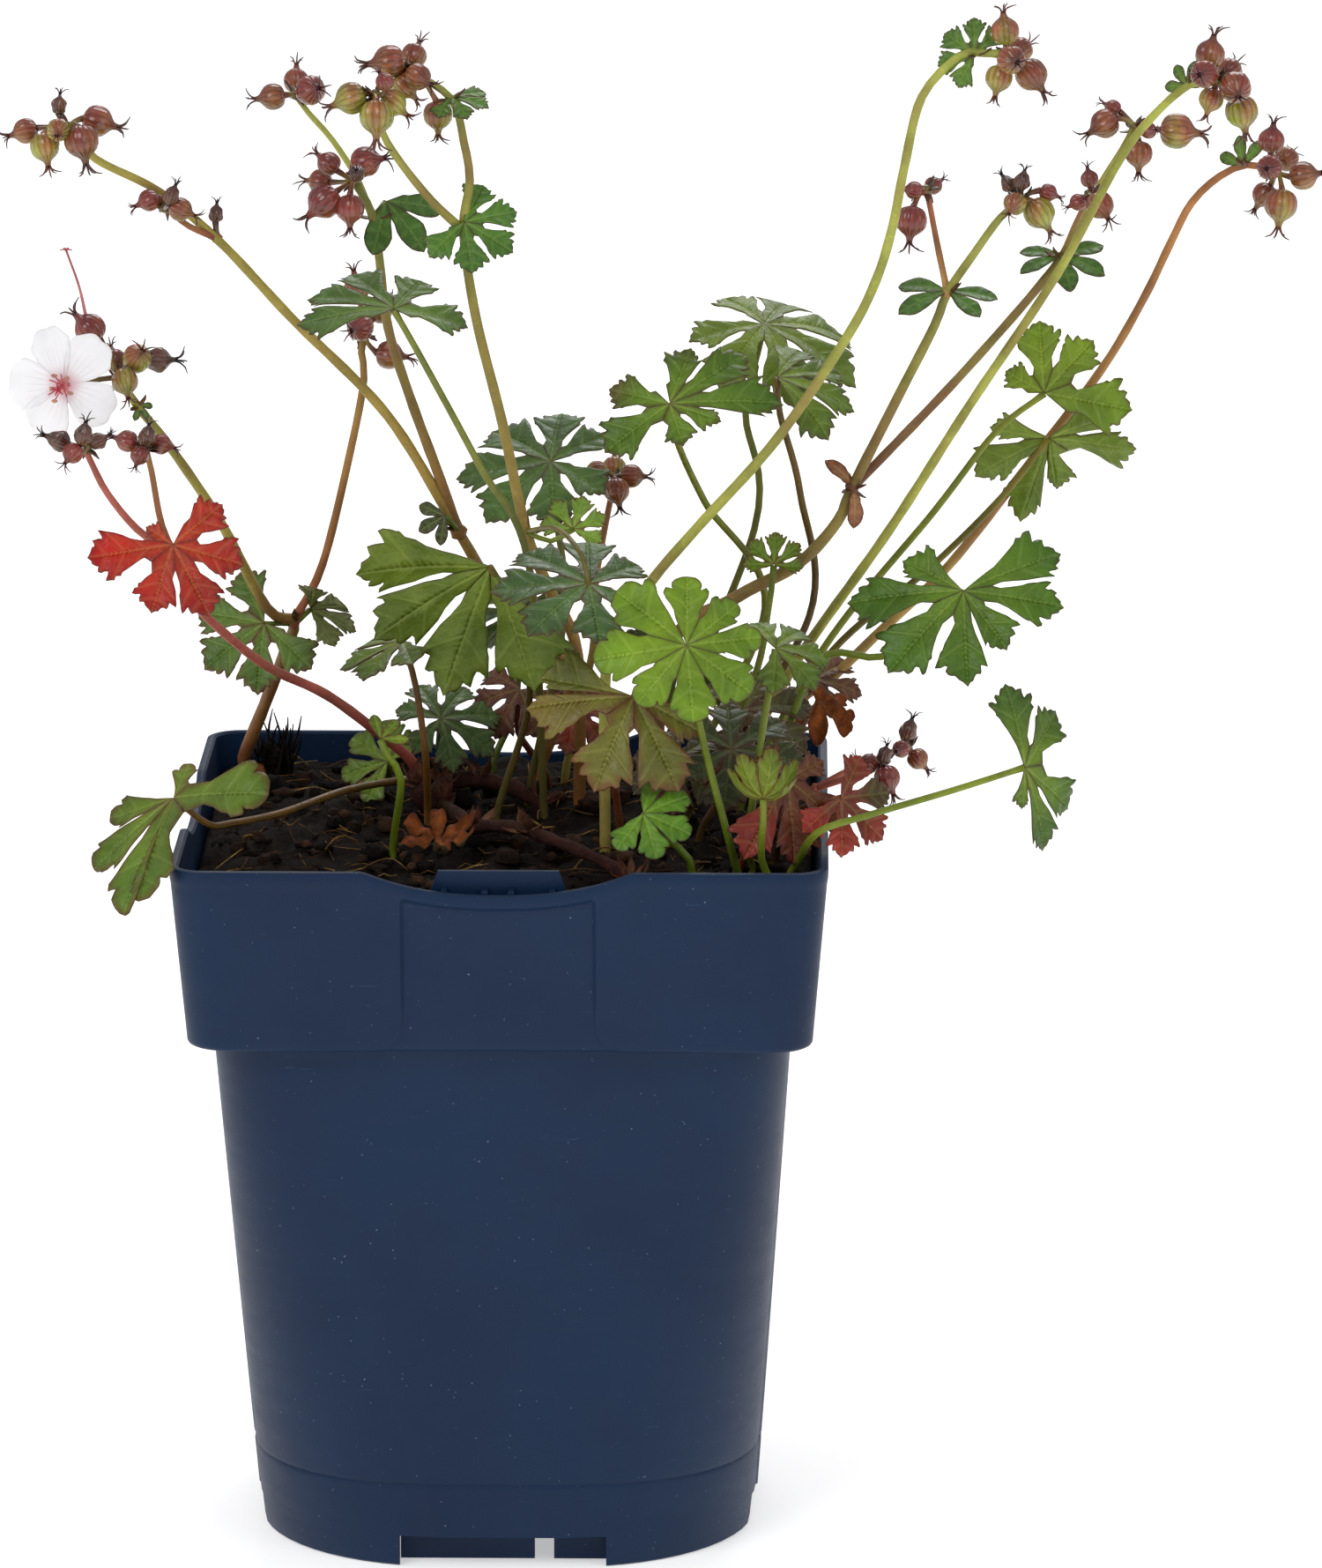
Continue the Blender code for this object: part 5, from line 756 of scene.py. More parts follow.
def half_lobe(angle, scale, sign, corner, room, profile, pick):
    """One side of a lobe as grids in lengths of the leaf: x, y, off rib, off edge, off vein, along, depth."""
    most = math.tan(max(0.1, room - LOBE_SPACE))
    widest = max(off / along for along, off in profile)
    squeeze = min(1.0, most / widest) ** 0.6
    c, s = math.cos(angle), math.sin(angle)
    local = np.array([corner[0] * c + corner[1] * s, sign * (-corner[0] * s + corner[1] * c)]) / scale
    wide = pick.uniform(0.86, 1.06)
    edge = [(0.0, 0.0), tuple(local * 0.5), tuple(local)]
    for along, off in profile:
        along = along + (pick.uniform(-0.012, 0.012) if 0.5 < along < 0.99 else 0.0)
        off = off * wide * squeeze * (1.0 + pick.uniform(-0.05, 0.05))
        if along > local[0] + 0.05:
            edge.append((along, min(off, along * most)))
    edge = np.array(edge)
    spans = np.linalg.norm(np.diff(edge, axis=0), axis=1)
    run = np.concatenate([[0.0], np.cumsum(spans)])
    run /= run[-1]
    stops = np.unique(np.round(np.concatenate([np.linspace(0, 1, 21), run]), 4))
    rim = np.stack([np.interp(stops, run, edge[:, 0]), np.interp(stops, run, edge[:, 1])], axis=1)
    calm = rim.copy()
    for _ in range(10):
        calm[3:-1] = (calm[2:-2] + calm[3:-1] * 2 + calm[4:]) / 4
    rib = stops ** 1.12
    depth = np.linspace(0, 1, LEAF_ROWS + 1) ** 0.85
    grid = np.zeros((len(stops), len(depth), 2))
    for j, p in enumerate(depth):
        target = calm * (1 - p ** 4) + rim * p ** 4
        grid[:, j, 0] = rib * (1 - p) + target[:, 0] * p
        grid[:, j, 1] = target[:, 1] * p
    off_edge = (1 - depth)[None, :] * np.linalg.norm(rim - np.stack([rib, 0 * rib], axis=1), axis=1)[:, None]
    vein = np.min([np.abs(stops - v) for v in VEIN_STOPS], axis=0)[:, None] * np.ones(len(depth))[None, :]
    x = (grid[..., 0] * c - sign * grid[..., 1] * s) * scale
    y = (grid[..., 0] * s + sign * grid[..., 1] * c) * scale
    return x, y, grid[..., 1] * scale, off_edge * scale, vein * scale * 0.8, grid[..., 0], depth


def leaf_blade(shape, centre, forward, facing, length, lobes, narrow, droop, looks, seed, sinus, rounded):
    """A lobed blade: toothed lobes, each arched about its rib, puckered between the veins."""
    pick = random.Random(seed)
    facing = unit(facing)
    forward = unit(forward - facing * np.dot(forward, facing))
    side = np.cross(facing, forward)
    count = len(lobes)
    spread = lobes[1][0] - lobes[0][0] if count > 1 else math.radians(60)
    open_side = 2 * math.pi - (lobes[-1][0] - lobes[0][0])
    end = min(spread * 0.5, open_side * 0.5 - LOBE_SPACE)
    corners = []
    for k in range(count + 1):
        if k == 0:
            angle, scale = lobes[0][0] - end, lobes[0][1]
        elif k == count:
            angle, scale = lobes[-1][0] + end, lobes[-1][1]
        else:
            angle = (lobes[k - 1][0] + lobes[k][0]) / 2
            scale = (lobes[k - 1][1] + lobes[k][1]) / 2
        corners.append(np.array([math.cos(angle), math.sin(angle)]) * sinus * scale)
    base_tint, tip_tint, edge_tint = (paint(code) for code in looks[:3])
    profile = SLIM_LOBE if narrow else WIDE_LOBE if rounded else TOOTHED_LOBE
    cells, faces = [], []
    start = 0
    phases = [pick.uniform(0, 6.28) for _ in range(4)]
    for k, (angle, scale) in enumerate(lobes):
        sway = pick.uniform(-0.035, 0.035)
        dip = pick.uniform(-0.05, 0.07)
        for sign, corner in ((-1, corners[k]), (1, corners[k + 1])):
            beside = k + sign
            room = abs(lobes[beside][0] - angle) / 2 if 0 <= beside < count else min(0.7, open_side / 2)
            x, y, off, rim, vein, along, depth = half_lobe(angle, scale, sign, corner, room, profile, pick)
            n, m = x.shape
            quilt = (0.010 * np.sin(np.clip(vein, 0, 0.2) * 22) * np.sin(np.pi * depth)[None, :]
                     * np.clip(along * 3 - 0.6, 0, 1))
            outer = np.clip(along - 0.45, 0, 1)
            wave = 0.03 * depth[None, :] * outer * np.sin(along * 15 + phases[0] + k)
            height = LEAF_FOLD * off + quilt + wave - dip * outer ** 2 + sway * sign * off
            columns = (x, y, height, off, rim, vein, along * scale, np.full((n, m), float(k)))
            cells.append(np.stack([column.ravel() for column in columns], axis=1))
            index = start + np.arange(n * m).reshape(n, m)
            quads = np.stack([index[:-1, :-1], index[1:, :-1], index[1:, 1:], index[:-1, 1:]], axis=-1)
            quads = quads.reshape(-1, 4)
            faces.append(quads if sign > 0 else quads[:, ::-1])
            start += n * m
    cells = np.concatenate(cells)
    faces = np.concatenate(faces)
    keys = np.round(cells[:, :2] * length / (0.03 * MM)).astype(np.int64)
    _, keep, where = np.unique(keys, axis=0, return_index=True, return_inverse=True)
    cells = cells[keep]
    faces = where.reshape(-1)[faces]
    x, y, lift = cells[:, 0], cells[:, 1], cells[:, 2]
    reach = np.hypot(x, y)
    height = lift - droop * reach ** 2
    pull = 1.0 - 0.35 * abs(droop) * reach
    flat = np.outer(x * pull, forward) + np.outer(y * pull, side)
    top = centre + length * (flat + np.outer(height, facing))
    rim_mm = cells[:, 4] * length * 1000
    thin = LEAF_THICKNESS * (0.35 + 0.65 * np.clip(rim_mm / 0.6, 0, 1))
    low = top - facing * thin[:, None]
    size = len(top)
    clean, edges = [], {}
    for face in faces.tolist():
        corners_left = []
        for corner in face:
            if corner not in corners_left:
                corners_left.append(corner)
        if len(corners_left) > 2:
            clean.append(tuple(corners_left))
            for a, b in zip(corners_left, corners_left[1:] + corners_left[:1]):
                edges[(a, b)] = True
    out = clean + [tuple(c + size for c in reversed(face)) for face in clean]
    out.extend((b, a, a + size, b + size) for a, b in edges if (b, a) not in edges)
    share = np.clip(reach * 1.05, 0, 1)
    tints = blend_paint(base_tint, tip_tint, share ** 1.3)
    mottle = 0.5 + 0.5 * np.sin(x * 9 + phases[1]) * np.sin(y * 8 + phases[2])
    tints = tints * (0.90 + 0.18 * mottle[:, None])
    tints = blend_paint(tints, edge_tint, np.clip(1 - rim_mm / looks[4], 0, 1) * 0.75)
    for lobe, code in looks[3].items():
        weight = np.where(cells[:, 7] == lobe, np.clip((cells[:, 6] - 0.30) * 3.2, 0, 0.9), 0.0)
        tints = blend_paint(tints, paint(code), weight)
    marks = np.stack([cells[:, 3] * length * 1000, cells[:, 5] * length * 1000, rim_mm], axis=1)
    under = blend_paint(tints, paint("A9B58C"), np.full(size, 0.32))
    shape.add(np.concatenate([top, low]), out, np.concatenate([tints, under]), np.concatenate([marks] * 2))


def leaf_looks(text):
    """Base, tip and edge colour, odd lobes, edge width in mm, and the colours of the stalk's tip and foot."""
    words = text.split()
    odd = {int(word[0]): word[2:] for word in words if ":" in word}
    plain = [word for word in words if ":" not in word]
    return plain[:3] + [odd, float(plain[3])] + plain[4:]


def leaf(shape, row, seed, sinus, rounded=False):
    """The petiole and the blade of one leaf, from the fields of its row."""
    places, facing, count, route, looks = row
    looks = leaf_looks(looks)
    centre_place, tip_place = stops_of(places)
    *facing, droop = numbers(facing)
    facing = unit(facing)
    centre = spot(centre_place)
    first = stops_of(route)[0]
    sessile = "," not in route and len(first) == 3 and np.linalg.norm(spot(first) - centre) < 2.6 * MM
    if sessile:
        centre = spot(first) + facing * BLADE_THICKNESS * 0.5
    target = spot_on_plane(tip_place[0], tip_place[1], centre, facing)
    seen = np.linalg.norm(spot((tip_place[0], tip_place[1], centre_place[2])) - centre)
    length = min(np.linalg.norm(target - centre), 1.35 * seen)
    if len(tip_place) > 2:
        target = spot(tip_place)
        length = np.linalg.norm(target - centre)
    forward = target - centre
    narrow = count in ("1", "2", "3")
    if "," in count:
        lobes = lobes_to(stops_of(count), centre, forward, facing, length)
    else:
        lobes = lobe_fan(numbers(count))
    leaf_blade(shape, centre, forward, facing, length, lobes, narrow, droop, looks, seed, sinus, rounded)
    if sessile:
        return
    points = route_points(route)
    points.append(centre - facing * BLADE_THICKNESS * 0.4)
    foot, tip = (PETIOLE_RADIUS, 0.62 * MM) if len(first) == 2 else (0.55 * MM, 0.5 * MM)
    radii = stem_radii(len(points), foot, tip)
    tube(shape, points, radii, paint(looks[-1]), tip_tint=paint(looks[5]), swell=0.2)


# The pot
def loft(rings, close_low, close_high):
    """Rings of corners joined, and closed by a point in the middle of each end."""
    size = len(rings[0])
    ends = [(0.0, 0.0, close_low), (0.0, 0.0, close_high)]
    verts = np.concatenate([np.asarray(ring) for ring in rings] + [np.array(ends)])
    faces = ring_faces(len(rings), size)
    low, high, start = len(verts) - 2, len(verts) - 1, (len(rings) - 1) * size
    faces.extend((low, (k + 1) % size, k) for k in range(size))
    faces.extend((high, start + k, start + (k + 1) % size) for k in range(size))
    return verts, faces


CORNER_STEPS = 14
QUARTERS = ((1, 0), (0, 1), (-1, 0), (0, -1))
SIDE_HALF_STOPS = (0.0, 3.0, 6.0, 9.0, 12.0, 14.0, 15.2, 15.7, 16.0, 16.3, 16.9, 18.0, 20.0, 22.0, 23.0,
                   25.5, 28.0)


def outline(half, corner, height, recess=0.0, dip=0.0, bow=0.0, foot=0.0, spread=False):
    """One ring of the pot, counter-clockwise from the front left, panel set back and rim dipped."""
    ring = []
    straight = half - corner
    stops = sorted([-s * MM for s in SIDE_HALF_STOPS[1:]] + [s * MM for s in SIDE_HALF_STOPS])
    for quarter in range(4):
        c, s = QUARTERS[quarter]
        places = [(-straight, -half, height)]
        for x in stops:
            x = x * straight / (30.0 * MM) if spread else max(-straight, min(straight, x))
            inner = 1.0 - min(1.0, max(0.0, (abs(x) - 15.6 * MM - foot) / (0.9 * MM)))
            inner = inner * inner * (3 - 2 * inner)
            lower = max(0.0, 1.0 - (abs(x) / DIP_HALF) ** 2.4) if abs(x) < DIP_HALF else 0.0
            places.append((x, -(half - recess * inner + bow * (1 - (x / half) ** 2)), height - dip * lower))
        for k in range(CORNER_STEPS):
            turn = math.radians(-90.0 + 90.0 * k / CORNER_STEPS)
            places.append((straight + corner * math.cos(turn), -straight + corner * math.sin(turn), height))
        for x, y, z in places:
            ring.append((x * c - y * s, x * s + y * c, z))
    return ring


BODY_TOP = POT_HEIGHT - COLLAR_HEIGHT
PANEL_FOOT = 4.0 * MM
# Heights on the body and on the foot of the band, each with how far its ring is drawn in, in mm
BODY_STOPS = ((2, 0), (5, 0), (10, 0), (14.2, 0), (14.8, 0.10), (15.1, 0.22), (15.4, 0.10), (16.0, 0.02),
              (24, 0), (34, 0), (46, 0), (58, 0), (70, 0), (82, 0), (90, 0))
COLLAR_FOOT_STOPS = ((0.10, 0.5), (0.35, 0.2), (0.8, 0.0), (1.6, 0.0), (2.6, 0.0), (3.6, 0.0), (5.0, 0.0))


def body_half(height):
    return BASE_HALF + (BODY_TOP_HALF - BASE_HALF) * height / BODY_TOP


def body_corner(height):
    return BASE_CORNER + (BODY_TOP_CORNER - BASE_CORNER) * height / BODY_TOP


def collar_half(height):
    return COLLAR_BOTTOM_HALF + (RIM_HALF - COLLAR_BOTTOM_HALF) * (height - BODY_TOP) / COLLAR_HEIGHT


def pot_shape():
    """The pot's rings: out under its foot, up the outside, over the rim and down the inside to the floor."""
    lip = POT_HEIGHT - LIP_DEPTH
    inner_half, inner_corner = BASE_HALF - WALL, BASE_CORNER - WALL
    rings = [outline(half, corner, height, spread=True) for half, corner, height in (
        (inner_half, inner_corner, FLOOR_UNDERSIDE), (inner_half, inner_corner, 0.3 * MM),
        (inner_half + 0.3 * MM, inner_corner, 0.0), (BASE_HALF - 0.5 * MM, BASE_CORNER, 0.0),
        (BASE_HALF - 0.1 * MM, BASE_CORNER, 0.35 * MM))]
    for height, inset in BODY_STOPS:
        z = height * MM
        bow = 0.4 * MM + 0.2 * MM * z / BODY_TOP
        rings.append(outline(body_half(z) - inset * MM, body_corner(z), z, bow=bow, spread=True))
    for wider, height in ((-0.1 * MM, BODY_TOP - 0.5 * MM), (0.25 * MM, BODY_TOP)):
        rings.append(outline(BODY_TOP_HALF + wider, BODY_TOP_CORNER, height, bow=0.6 * MM, spread=True))
    low_corner = RIM_CORNER + 0.6 * MM
    rings.append(outline(COLLAR_BOTTOM_HALF - 0.9 * MM, low_corner, BODY_TOP, PANEL_RECESS, foot=PANEL_FOOT))
    for rise, inset in COLLAR_FOOT_STOPS:
        z = BODY_TOP + rise * MM
        foot = PANEL_FOOT * max(0.0, 1.0 - rise / 5.0) ** 2.2
        rings.append(outline(collar_half(z) - inset * MM, low_corner, z, PANEL_RECESS, foot=foot))
    for height in (102, 108, 114, 119, 121.0):
        z = height * MM
        share = (z - BODY_TOP) / COLLAR_HEIGHT
        corner, dip = low_corner - 0.6 * MM * share, DIP_DEPTH * share ** 3
        rings.append(outline(collar_half(z), corner, z, PANEL_RECESS, dip))
    lip_half = collar_half(lip)
    for half, narrower, height, recess in (
            (collar_half(lip - 0.5 * MM), 0.0, lip - 0.5 * MM, PANEL_RECESS),
            (lip_half + 0.05 * MM, 0.0, lip - 0.1 * MM, 0.3 * MM),
            (lip_half + 0.1 * MM, 0.0, lip + 0.2 * MM, 0.0), (RIM_HALF, 0.0, POT_HEIGHT - 0.5 * MM, 0.0),
            (RIM_HALF - 0.12 * MM, 0.1 * MM, POT_HEIGHT - 0.15 * MM, 0.0),
            (RIM_HALF - 0.45 * MM, 0.4 * MM, POT_HEIGHT, 0.0),
            (RIM_HALF - WALL + 0.4 * MM, WALL - 0.4 * MM, POT_HEIGHT, 0.0),
            (RIM_HALF - WALL, WALL, POT_HEIGHT - 0.4 * MM, 0.0)):
        rings.append(outline(half, RIM_CORNER - narrower, height, recess, DIP_DEPTH))
    rings += [
        outline(lip_half - WALL, RIM_CORNER - WALL, lip - 1.5 * MM, 0.0, DIP_DEPTH * 0.8),
        outline(collar_half(110 * MM) - WALL, RIM_CORNER - WALL * 0.8, 110 * MM),
        outline(COLLAR_BOTTOM_HALF - WALL, RIM_CORNER - WALL * 0.6, BODY_TOP + 2.0 * MM),
        outline(BODY_TOP_HALF - WALL, BODY_TOP_CORNER - WALL, BODY_TOP - 1.6 * MM, spread=True),
        outline(body_half(FLOOR_TOP) - WALL, body_corner(FLOOR_TOP) - WALL, FLOOR_TOP, spread=True),
    ]
    return loft(rings, FLOOR_UNDERSIDE, FLOOR_TOP)


def box(low, high):
    x0, y0, z0 = low
    x1, y1, z1 = high
    verts = [(x0, y0, z0), (x1, y0, z0), (x1, y1, z0), (x0, y1, z0), (x0, y0, z1), (x1, y0, z1), (x1, y1, z1),
             (x0, y1, z1)]
    faces = [(0, 3, 2, 1), (4, 5, 6, 7), (0, 1, 5, 4), (1, 2, 6, 5), (2, 3, 7, 6), (3, 0, 4, 7)]
    return [np.array(v, dtype=float) for v in verts], faces


def turned(shape, quarters):
    """A shape turned about the pot's upright axis by quarter turns."""
    c, s = QUARTERS[quarters]
    return [np.array([v[0] * c - v[1] * s, v[0] * s + v[1] * c, v[2]]) for v in shape[0]], shape[1]


def upright_rod(x, y, z0, z1, radius, sides):
    turns = [2 * math.pi * k / sides for k in range(sides)]
    low = [np.array([x + radius * math.cos(turn), y + radius * math.sin(turn), z0]) for turn in turns]
    verts = low + [np.array([v[0], v[1], z1]) for v in low]
    faces = [tuple(reversed(range(sides))), tuple(range(sides, 2 * sides))]
    return verts, faces + ring_faces(2, sides)


def plain_object(name, shape):
    verts, faces = shape
    mesh = bpy.data.meshes.new(name)
    mesh.from_pydata([tuple(float(c) for c in v) for v in verts], [], [tuple(f) for f in faces])
    face_out(mesh, True)
    return placed(name, mesh)


def joined(made, shapes, operation):
    """Join shapes to an object, or take them away."""
    group = bpy.data.collections.new(made.name + "_" + operation.lower())
    bpy.context.scene.collection.children.link(group)
    for number, shape in enumerate(shapes):
        extra = plain_object(made.name + "_tool_" + str(number), shape)
        bpy.context.scene.collection.objects.unlink(extra)
        group.objects.link(extra)
    modifier = made.modifiers.new("join", "BOOLEAN")
    modifier.operation = operation
    modifier.operand_type = "COLLECTION"
    modifier.collection = group
    modifier.solver = "MANIFOLD"
    graph = bpy.context.evaluated_depsgraph_get()
    mesh = bpy.data.meshes.new_from_object(made.evaluated_get(graph), depsgraph=graph)
    made.modifiers.clear()
    made.data = mesh
    for extra in list(group.objects):
        bpy.data.objects.remove(extra, do_unlink=True)
    bpy.data.collections.remove(group)


def make_pot(finish):
    pot = plain_object("nursery_pot", pot_shape())
    pieces = [upright_rod(0.0, 0.0, 0.0, FLOOR_UNDERSIDE + 0.9 * MM, 8.0 * MM, 32)]
    wall_back = -(BASE_HALF - PLATE_SETBACK)
    for quarter in range(4):
        for left, right in ((-NOTCH_HALF, 5.3 * MM), (8.6 * MM, NOTCH_HALF + 0.7 * MM)):
            plate = box((left, wall_back, 0.0), (right, wall_back + 1.4 * MM, FLOOR_UNDERSIDE + 0.9 * MM))
            pieces.append(turned(plate, quarter))
    slot_back = -(collar_half(POT_HEIGHT - 3 * MM) - WALL - 2.4 * MM)
    slot_top = POT_HEIGHT - 0.6 * MM
    slot = box((-SLOT_HALF, slot_back, slot_top - 4.6 * MM), (SLOT_HALF, slot_back + 1.0 * MM, slot_top))
    for corner, shift in ((4, 1.6), (7, 1.6), (5, -1.6), (6, -1.6)):
        slot[0][corner][0] += shift * MM
    pieces.append(slot)
    for x in (-9.0 * MM, -2.2 * MM, 2.2 * MM, 9.0 * MM):
        pieces.append(box((x - 0.5 * MM, slot_back - 3.0 * MM, slot_top - 4.6 * MM),
                          (x + 0.5 * MM, slot_back + 0.5 * MM, slot_top - 2.8 * MM)))
    joined(pot, pieces, "UNION")
    cutters = []
    for quarter in range(4):
        notch = box((-NOTCH_HALF, -BASE_HALF - 5 * MM, -1 * MM),
                    (NOTCH_HALF, -BASE_HALF + 4.0 * MM, NOTCH_HEIGHT))
        cutters.append(turned(notch, quarter))
        turn = math.radians(45.0 + 90.0 * quarter)
        cutters.append(upright_rod(DRAIN_REACH * math.cos(turn), DRAIN_REACH * math.sin(turn),
                                   FLOOR_UNDERSIDE - 1 * MM, FLOOR_TOP + 1 * MM, DRAIN_RADIUS, 28))
    joined(pot, cutters, "DIFFERENCE")
    pot.data.polygons.foreach_set("use_smooth", [True] * len(pot.data.polygons))
    pot.data.set_sharp_from_angle(angle=math.radians(34))
    pot.data.materials.clear()
    pot.data.materials.append(finish)
    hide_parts("pot")
    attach(pot, "root")


# The soil
def rough_soil(x, y):
    """The soil's height with its crumbs."""
    fine = (np.sin(x * 2100 + 3 * np.sin(y * 1300)) * np.sin(y * 1900 + 2 * np.sin(x * 1500))
            + 0.6 * np.sin(x * 4300 + y * 3100) * np.sin(y * 4700 - x * 2300))
    return soil_height(x, y) + 0.38 * MM * fine


def make_soil(shape):
    gap = WALL + SOIL_GAP
    edge_half = collar_half(SOIL_EDGE_TOP - 3 * MM) - gap
    rings = [
        outline(body_half(FLOOR_TOP) - gap, body_corner(FLOOR_TOP) - gap, FLOOR_TOP + SOIL_GAP),
        outline(BODY_TOP_HALF - gap, BODY_TOP_CORNER - gap, BODY_TOP - 1.2 * MM),
        outline(COLLAR_BOTTOM_HALF - gap, RIM_CORNER - gap * 0.6, BODY_TOP + 2.6 * MM),
    ]
    rim = np.array(outline(edge_half, RIM_CORNER - gap * 0.6, SOIL_EDGE_TOP - 1.0 * MM))
    rim[:, 2] += SOIL_SLOPE * rim[:, 1]
    rings.append(rim)
    for share in np.linspace(0.985, 0.03, 60):
        ring = rim.copy()
        ring[:, :2] *= share
        ring[:, 2] = rough_soil(ring[:, 0], ring[:, 1])
        rings.append(ring)
    verts, faces = loft(rings, FLOOR_TOP + SOIL_GAP, soil_height(0.0, 0.0))
    shape.add(verts, faces, paint("1D1612"))


def any_of(pick, *ranges):
    """A random shift in metres, with a range in mm for each axis."""
    return np.array([pick.uniform(*ends) for ends in ranges]) * MM


def any_within(pick, reach):
    return pick.uniform(-reach, reach) * MM


def scatter_crumbs(shape, pick):
    for number in range(CRUMBS):
        x, y = any_within(pick, SCATTER_REACH), any_within(pick, SCATTER_REACH)
        size = pick.choice((0.5, 0.7, 0.9, 1.3, 2.0)) * MM * pick.uniform(0.7, 1.2)
        code = pick.choice(("1A130F", "231915", "2E211A", "140F0C", "3E2C20", "50392A"))
        lump(shape, np.array([x, y, soil_height(x, y) + size * 0.35]), size, paint(code), number, 0.3,
             (pick.uniform(0.7, 1.3), pick.uniform(0.7, 1.3), pick.uniform(0.5, 0.9)), 5, 7)


def scatter_fibres(shape, pick):
    for _ in range(FIBRES):
        x, y = any_within(pick, SCATTER_REACH - 2), any_within(pick, SCATTER_REACH - 2)
        turn, length = pick.uniform(0, 6.28), pick.uniform(3, 13) * MM
        bend = pick.uniform(-0.7, 0.7)
        stops = []
        for k in range(4):
            way = turn + bend * k / 3
            px, py = (max(-SCATTER_REACH * MM, min(SCATTER_REACH * MM, c))
                      for c in (x + math.cos(way) * length * k / 3, y + math.sin(way) * length * k / 3))
            stops.append(np.array([px, py, soil_height(px, py) + pick.uniform(0.2, 1.6) * MM]))
        radius = pick.uniform(0.09, 0.2) * MM
        code = pick.choice(("8A6C40", "6A4C2C", "4A3422", "7A5E38", "30221A", "A08450"))
        tube(shape, stops, [radius] * 3 + [radius * 0.4], paint(code), 5, 1.5 * MM)


def dark_tuft(shape, pick):
    """The dark clump of old roots at the back left."""
    foot = spot((312, 862, 40))
    for _ in range(TUFT_ROOTS):
        start = foot + any_of(pick, (-2.6, 2.6), (-2.4, 2.4), (-5, 1))
        tip = start + any_of(pick, (-2.0, 2.4), (-1.5, 1.5), (4.0, 9.0))
        middle = (start + tip) / 2 + np.array([pick.uniform(-1, 1), pick.uniform(-1, 1), 0]) * MM
        code = pick.choice(("1E1713", "2B2019", "14100E"))
        tube(shape, [start, middle, tip], [0.32 * MM, 0.26 * MM, 0.1 * MM], paint(code), 5, 1.5 * MM)
    for number in range(TUFT_LUMPS):
        centre = foot + any_of(pick, (-2, 2), (-2, 2), (-4, 4))
        lump(shape, centre, pick.uniform(1.0, 1.9) * MM, paint("1C1612"), number + 90, 0.35)


# The flower
def petal(shape, centre, facing, way, reach, half, seed):
    """One broad petal, notched a little at its end, with fine pink veins."""
    pick = random.Random(seed)
    side = np.cross(facing, way)
    rows, columns = 22, 15
    share = np.linspace(0.07, 1.0, rows)
    across = np.linspace(-1, 1, columns)
    s, t = np.meshgrid(share, across, indexing="ij")
    width = half * np.sin(np.clip(s, 0, 1) ** 0.85 * math.pi * 0.60) ** 1.15
    ends = 1.0 - 0.20 * np.abs(t) ** 2.6 * s ** 3 - 0.03 * np.exp(-(t * 4) ** 2) * s ** 6
    along = reach * s * ends
    off = width * t * (1 - 0.12 * np.clip(s - 0.8, 0, 1) / 0.2 * t * t)
    lift = (0.10 * reach * s - 0.20 * reach * s ** 2.4
            + 0.035 * reach * np.sin(t * 5 + pick.uniform(0, 6)) * s ** 2
            + 0.05 * reach * t * t * s + 0.006 * reach * np.cos(t * 22) * s)
    places = centre + along[..., None] * way + off[..., None] * side + lift[..., None] * facing
    tints = blend_paint(paint("DDB8C2"), paint("F4F4F6"), np.clip((s - 0.10) * 4.6, 0, 1).ravel())
    marks = np.stack([np.abs(np.sin(t * 11)).ravel(), s.ravel(), np.ones(s.size)], axis=1)
    sheet_shape(shape, places.reshape(-1, 3), rows, columns, facing, 0.25 * MM, tints, marks)


def flower_frame():
    place, facing, reach = FLOWER
    facing = unit(facing)
    upward = np.array([0.12, 0.0, 1.0])
    upward = unit(upward - facing * np.dot(upward, facing))
    return spot(place), facing, upward, np.cross(facing, upward), reach * MM


# Each petal: its turn in degrees from upright, and its reach and half width in reaches of the flower
PETALS = ((26.0, 1.07, 0.36), (96.0, 1.0, 0.46), (160.0, 0.96, 0.42), (-114.0, 1.0, 0.44),
          (-34.0, 1.05, 0.43))


